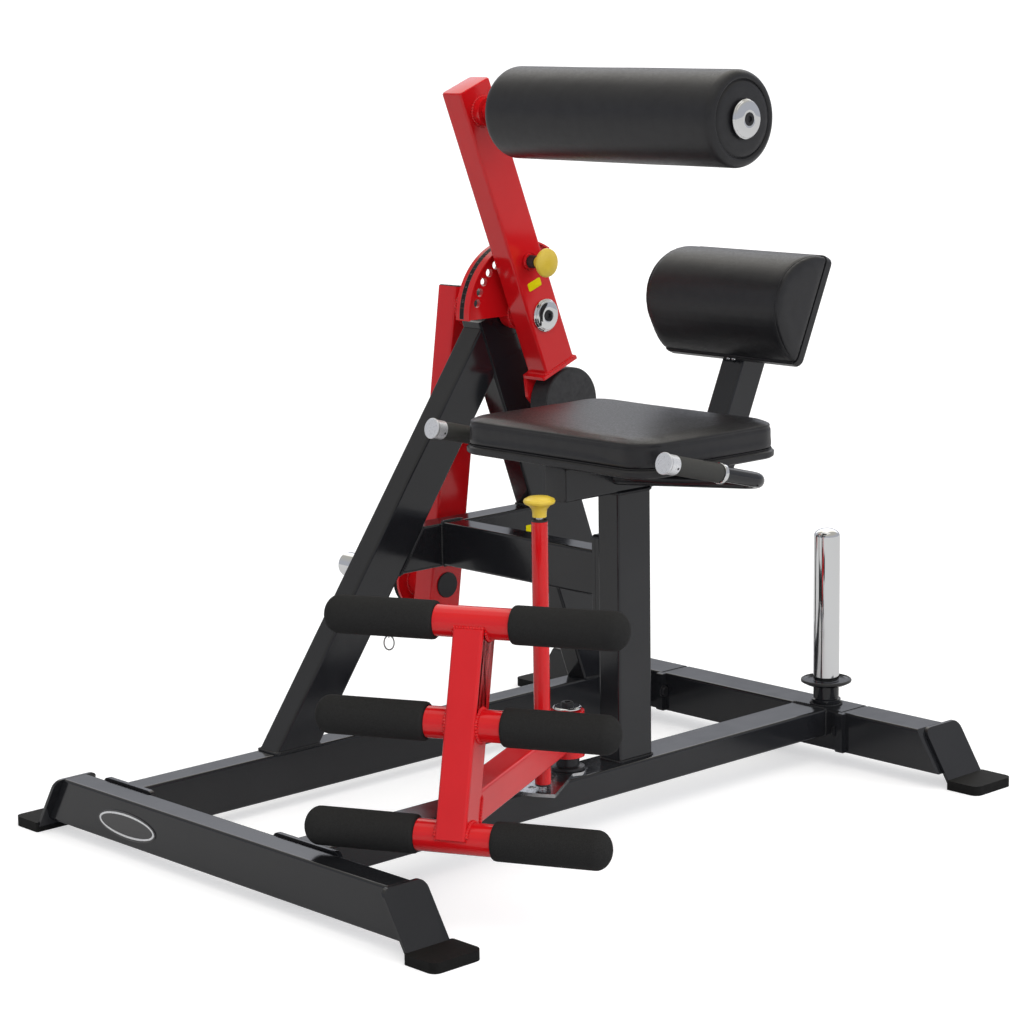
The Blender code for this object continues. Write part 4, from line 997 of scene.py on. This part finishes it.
bm = bmesh.new()
for k in range(10):
    a = PIN_ANGLE + (k - 4) * FIELD
    out, along = Vector((0, cos(a), sin(a))), Vector((0, -sin(a), cos(a)))
    bm.from_mesh(number(str(k + 1), on_rim((strip_from + strip_to) / 2, a, 0.0003), along, out.cross(along)))
piece("sector_scale_numbers", bm, strip_pale, "lever", crisp=30)

# %% [markdown]
# ## Weld beads
# Where tubes meet, welding leaves a bead of overlapping ripples, sprayed over with the same coat. A
# bead is a round section carried round the joint, swelling every few millimetres. A bump texture would
# be cheaper, but it would not change the outline of the corner, which the eye picks up.

# %% Three kinds of bead
RIPPLE, SWELL = 0.0046, 0.26
CORNER = 0.005                   # radius of a tube's corners
BEAD, ROUND_BEAD, FINE_BEAD = 0.0030, 0.0028, 0.0022


def bead(bm, points, size=BEAD, loop=True):
    carry(bm, even_path(points, RIPPLE / 4, loop),
          lambda s: size * (1 + SWELL * cos(2 * pi * s / RIPPLE)), 7, loop)


def square_bead(bm, at, u, v, wide, high):
    bead(bm, [at + u * a + v * b for a, b in outline(wide, high, CORNER, 3)])


def round_bead(bm, at, axis, r, size=ROUND_BEAD, keep=None):
    """Keep points to the half of the ring that is laid, where a tube covers the other half."""
    u, v, _ = square_to(axis)
    ring = [at + u * a + v * b for a, b in circle(r, 48)]
    if keep is None:
        return bead(bm, ring, size)
    kept = [p for p in ring if (p - at).dot(keep) > CORNER]
    start = max(range(len(kept)), key=lambda i: (kept[i] - kept[i - 1]).length)
    bead(bm, kept[start:] + kept[:start], size, loop=False)


# %% Beads on the black frame
RAIL_TOP = 0.1015
ON_RAIL, FLANGE_REAR, TUBE, TUBE_DEEP = RAIL_TOP + 0.0005, 0.5748, 0.050, 0.080
BRACE_Y, BRACE_Z, SIDE_BRACE_Z = 0.0996, 0.418, 0.4155
front_leg = Vector((0, 0.499, 0.697)).normalized()
rear_leg = Vector((0, -0.2442, 0.6675)).normalized()
bm = bmesh.new()
for x, y, z, u, v, wide, high in (
        (LEVER_SIDE, -0.2714, ON_RAIL, X, Y, TUBE, 0.0984),  # front leg
        (LEVER_SIDE, 0.5025, ON_RAIL, X, Y, TUBE, 0.1278),  # rear leg
        (SEAT_SIDE, 0.0935, ON_RAIL, X, Y, TUBE, TUBE_DEEP),  # seat post
        (SEAT_SIDE, 0.0935, 0.569, X, Y, TUBE, TUBE_DEEP),
        (LEVER_SIDE + 0.0255, BRACE_Y, BRACE_Z, Y, Z, TUBE, TUBE_DEEP),  # cross brace
        (BRACE_FACE - 0.0003, BRACE_Y, BRACE_Z, Y, Z, TUBE, TUBE_DEEP),
        (LEVER_SIDE, FRONT_FLANGE, RAIL_TOP - 0.040, X, Z, TUBE, 0.0795),  # ends of the rails
        (SEAT_SIDE, FRONT_FLANGE, RAIL_TOP - 0.025, X, Z, TUBE_DEEP, 0.0495),
        (LEVER_SIDE, FLANGE_REAR, RAIL_TOP - 0.0375, X, Z, TUBE, 0.0745),
        (SEAT_SIDE, FLANGE_REAR, RAIL_TOP - 0.025, X, Z, TUBE_DEEP, 0.0495)):
    square_bead(bm, Vector((x, y, z)), u, v, wide, high)
for lean, foot in ((front_leg, Vector((0, -0.321, 0.101)) + Vector((0, front_leg.z, -front_leg.y)) * 0.0803),
                   (rear_leg, Vector((0, 0.4386, 0.0925)))):
    heights = [(a, SIDE_BRACE_Z + b) for a, b in outline(TUBE, TUBE_DEEP, CORNER, 3)]
    bead(bm, [Vector((LEVER_SIDE + a, foot.y + (z - foot.z) * lean.y / lean.z, z)) for a, z in heights])
round_bead(bm, storage + Z * (RAIL_TOP + 0.0008), Z, 0.0272)
for _, side in SIDES:
    round_bead(bm, Vector((SEAT_SIDE + side * 0.0252, 0.0592, 0.6003)), X, 0.0132, FINE_BEAD)
piece("frame_weld_beads", bm, black_coat, "frame", crisp=60)

# %% Beads on the red lever and arm
bm = bmesh.new()
for at, r in ((PIVOT + X * (LEVER_FACE + 0.0006), 0.0345), (PIVOT - X * 0.2484, 0.0285),
              (horn_axis - X * 0.4355, 0.0305), (horn_flange + X * 0.0063, 0.0305)):
    round_bead(bm, at, X, r)
piece("lever_weld_beads", bm, red_coat, "lever", crisp=60)
bm = bmesh.new()
square_bead(bm, arm_mid - arm_up * 0.1022, X, arm_back, TUBE, 0.075)
round_bead(bm, arm_mid + arm_up * 0.3975 + X * 0.0254, X, 0.0253)
piece("arm_weld_beads", bm, red_coat, "arm", crisp=60)

# %% Beads on the footrest
CROSS_R, POST_HALF = 0.0253, 0.0252
bm = bmesh.new()
for level, z in ROLLER_HEIGHTS.items():
    inward = {"low": Z, "middle": None, "top": -Z}[level]
    for _, side in SIDES:
        round_bead(bm, rest_at(z) + across * side * POST_HALF, across, CROSS_R, 0.0033, inward)
    for face in (POST_HALF, -POST_HALF) if inward else ():
        corner = rest_at(z) + inward * 0.0038 + ahead * face
        bead(bm, [corner - across * 0.0250, corner + across * 0.0250], loop=False)
rest_out = (ahead + Z * REST_SLOPE).normalized()
bead(bm, [rest_at(0.17925 + b) - rest_out * 0.0302 + across * a for a, b in outline(TUBE, 0.0525, CORNER, 3)])
for z in (0.2060, 0.1528):
    round_bead(bm, pin_tube + Z * z, Z, 0.0138, FINE_BEAD)
piece("footrest_weld_beads", bm, red_coat, "footrest", crisp=60)

# %% [markdown]
# ## The studio
# The machine stands on white with no hard light. What the coat mirrors is a plain grey sky with one
# soft box high at the rear left, which makes the pale stripes on the tube faces. The sky is cool near
# the horizon and warm overhead, and floor and sky are white to the camera.

# %% Sums and products of nodes
def sums(owner, kind, a, b):
    node = add(owner, "ShaderNodeMath", operation=kind)
    for socket, value in zip(node.inputs, (a, b)):
        if isinstance(value, float):
            socket.default_value = value
        else:
            join(owner, value, socket)
    return node.outputs["Value"]


# %% Floor
FLOOR_GLOW, FLOOR_DOWN = 0.55, -0.0002
floor_paper = bpy.data.materials.new("studio_floor")
floor_paper.use_nodes = True
nodes = floor_paper.node_tree.nodes
nodes.remove(nodes["Principled BSDF"])
paper = add(floor_paper, "ShaderNodeBsdfDiffuse", Color=(0.62, 0.63, 0.66, 1))
glow = add(floor_paper, "ShaderNodeEmission", Color=(1, 1, 1, 1))
seen = add(floor_paper, "ShaderNodeLightPath").outputs["Is Camera Ray"]
join(floor_paper, sums(floor_paper, "MULTIPLY", seen, FLOOR_GLOW), glow.inputs["Strength"])
both = add(floor_paper, "ShaderNodeAddShader")
join(floor_paper, paper.outputs["BSDF"], both.inputs[0])
join(floor_paper, glow.outputs["Emission"], both.inputs[1])
join(floor_paper, both.outputs["Shader"], nodes["Material Output"].inputs["Surface"])
bm = bmesh.new()
skin(bm, [[Vector((x, y, FLOOR_DOWN)) for x, y in circle(r, 64)] for r in (60, 2)], caps=(-1,))
put_in(bpy.data.objects.new("floor", mesh_of("floor", bm, floor_paper)))
print("floor radius 60 m, glow", FLOOR_GLOW)

# %% Sky
world = bpy.data.worlds.new("studio")
bpy.context.scene.world = world
world.use_nodes = True
background = world.node_tree.nodes["Background"].inputs
ray = add(world, "ShaderNodeLightPath").outputs
way = add(world, "ShaderNodeSeparateXYZ")
join(world, add(world, "ShaderNodeTexCoord").outputs["Generated"], way.inputs["Vector"])


def times(a, b):
    return sums(world, "MULTIPLY", a, b)


def plus(a, b):
    return sums(world, "ADD", a, b)


def band(axis, start, stop, low=0.0, high=1.0):
    return spread(world, way.outputs[axis], (start, stop), low, high, interpolation_type="SMOOTHSTEP")


soft_box = times(times(band("Y", 0.0, 0.20), band("Z", 0.24, 0.36)), band("X", -0.20, 0.10, 1.0, 0.0))
mirrored = plus(soft_box, 0.47)
plain = plus(plus(times(band("X", -0.30, 0.80), 1.40), times(band("Z", 0.15, 0.75), 0.32)), 0.30)
is_mirror = sums(world, "MAXIMUM", ray["Is Glossy Ray"], ray["Is Transmission Ray"])
is_other = sums(world, "SUBTRACT", 1.0, sums(world, "MAXIMUM", ray["Is Camera Ray"], is_mirror))
join(world, plus(plus(times(ray["Is Camera Ray"], 1.15), times(is_mirror, mirrored)), times(is_other, plain)),
     background["Strength"])
COOL, WARM = (0.945, 0.970, 1.06), (1.06, 1.02, 0.92)
join(world, ramp(world, way.outputs["Z"], (0.30, 0.70), (COOL, WARM)), background["Color"])
print("sky nodes:", len(world.node_tree.nodes))

# %% Soft lamp overhead
lamp = bpy.data.lights.new("overhead", "AREA")
lamp.shape = "RECTANGLE"
lamp.size = lamp.size_y = 3.6
lamp.energy = 18
overhead = put_in(bpy.data.objects.new("overhead", lamp))
overhead.location = (0.0, -0.4, 4.2)
overhead.rotation_euler = (Vector((0, 0, 0.4)) - overhead.location).to_track_quat("-Z", "Y").to_euler()
bpy.context.scene.view_settings.view_transform = "Standard"
print("lamp of", lamp.energy, "watts,", lamp.size, "m wide")
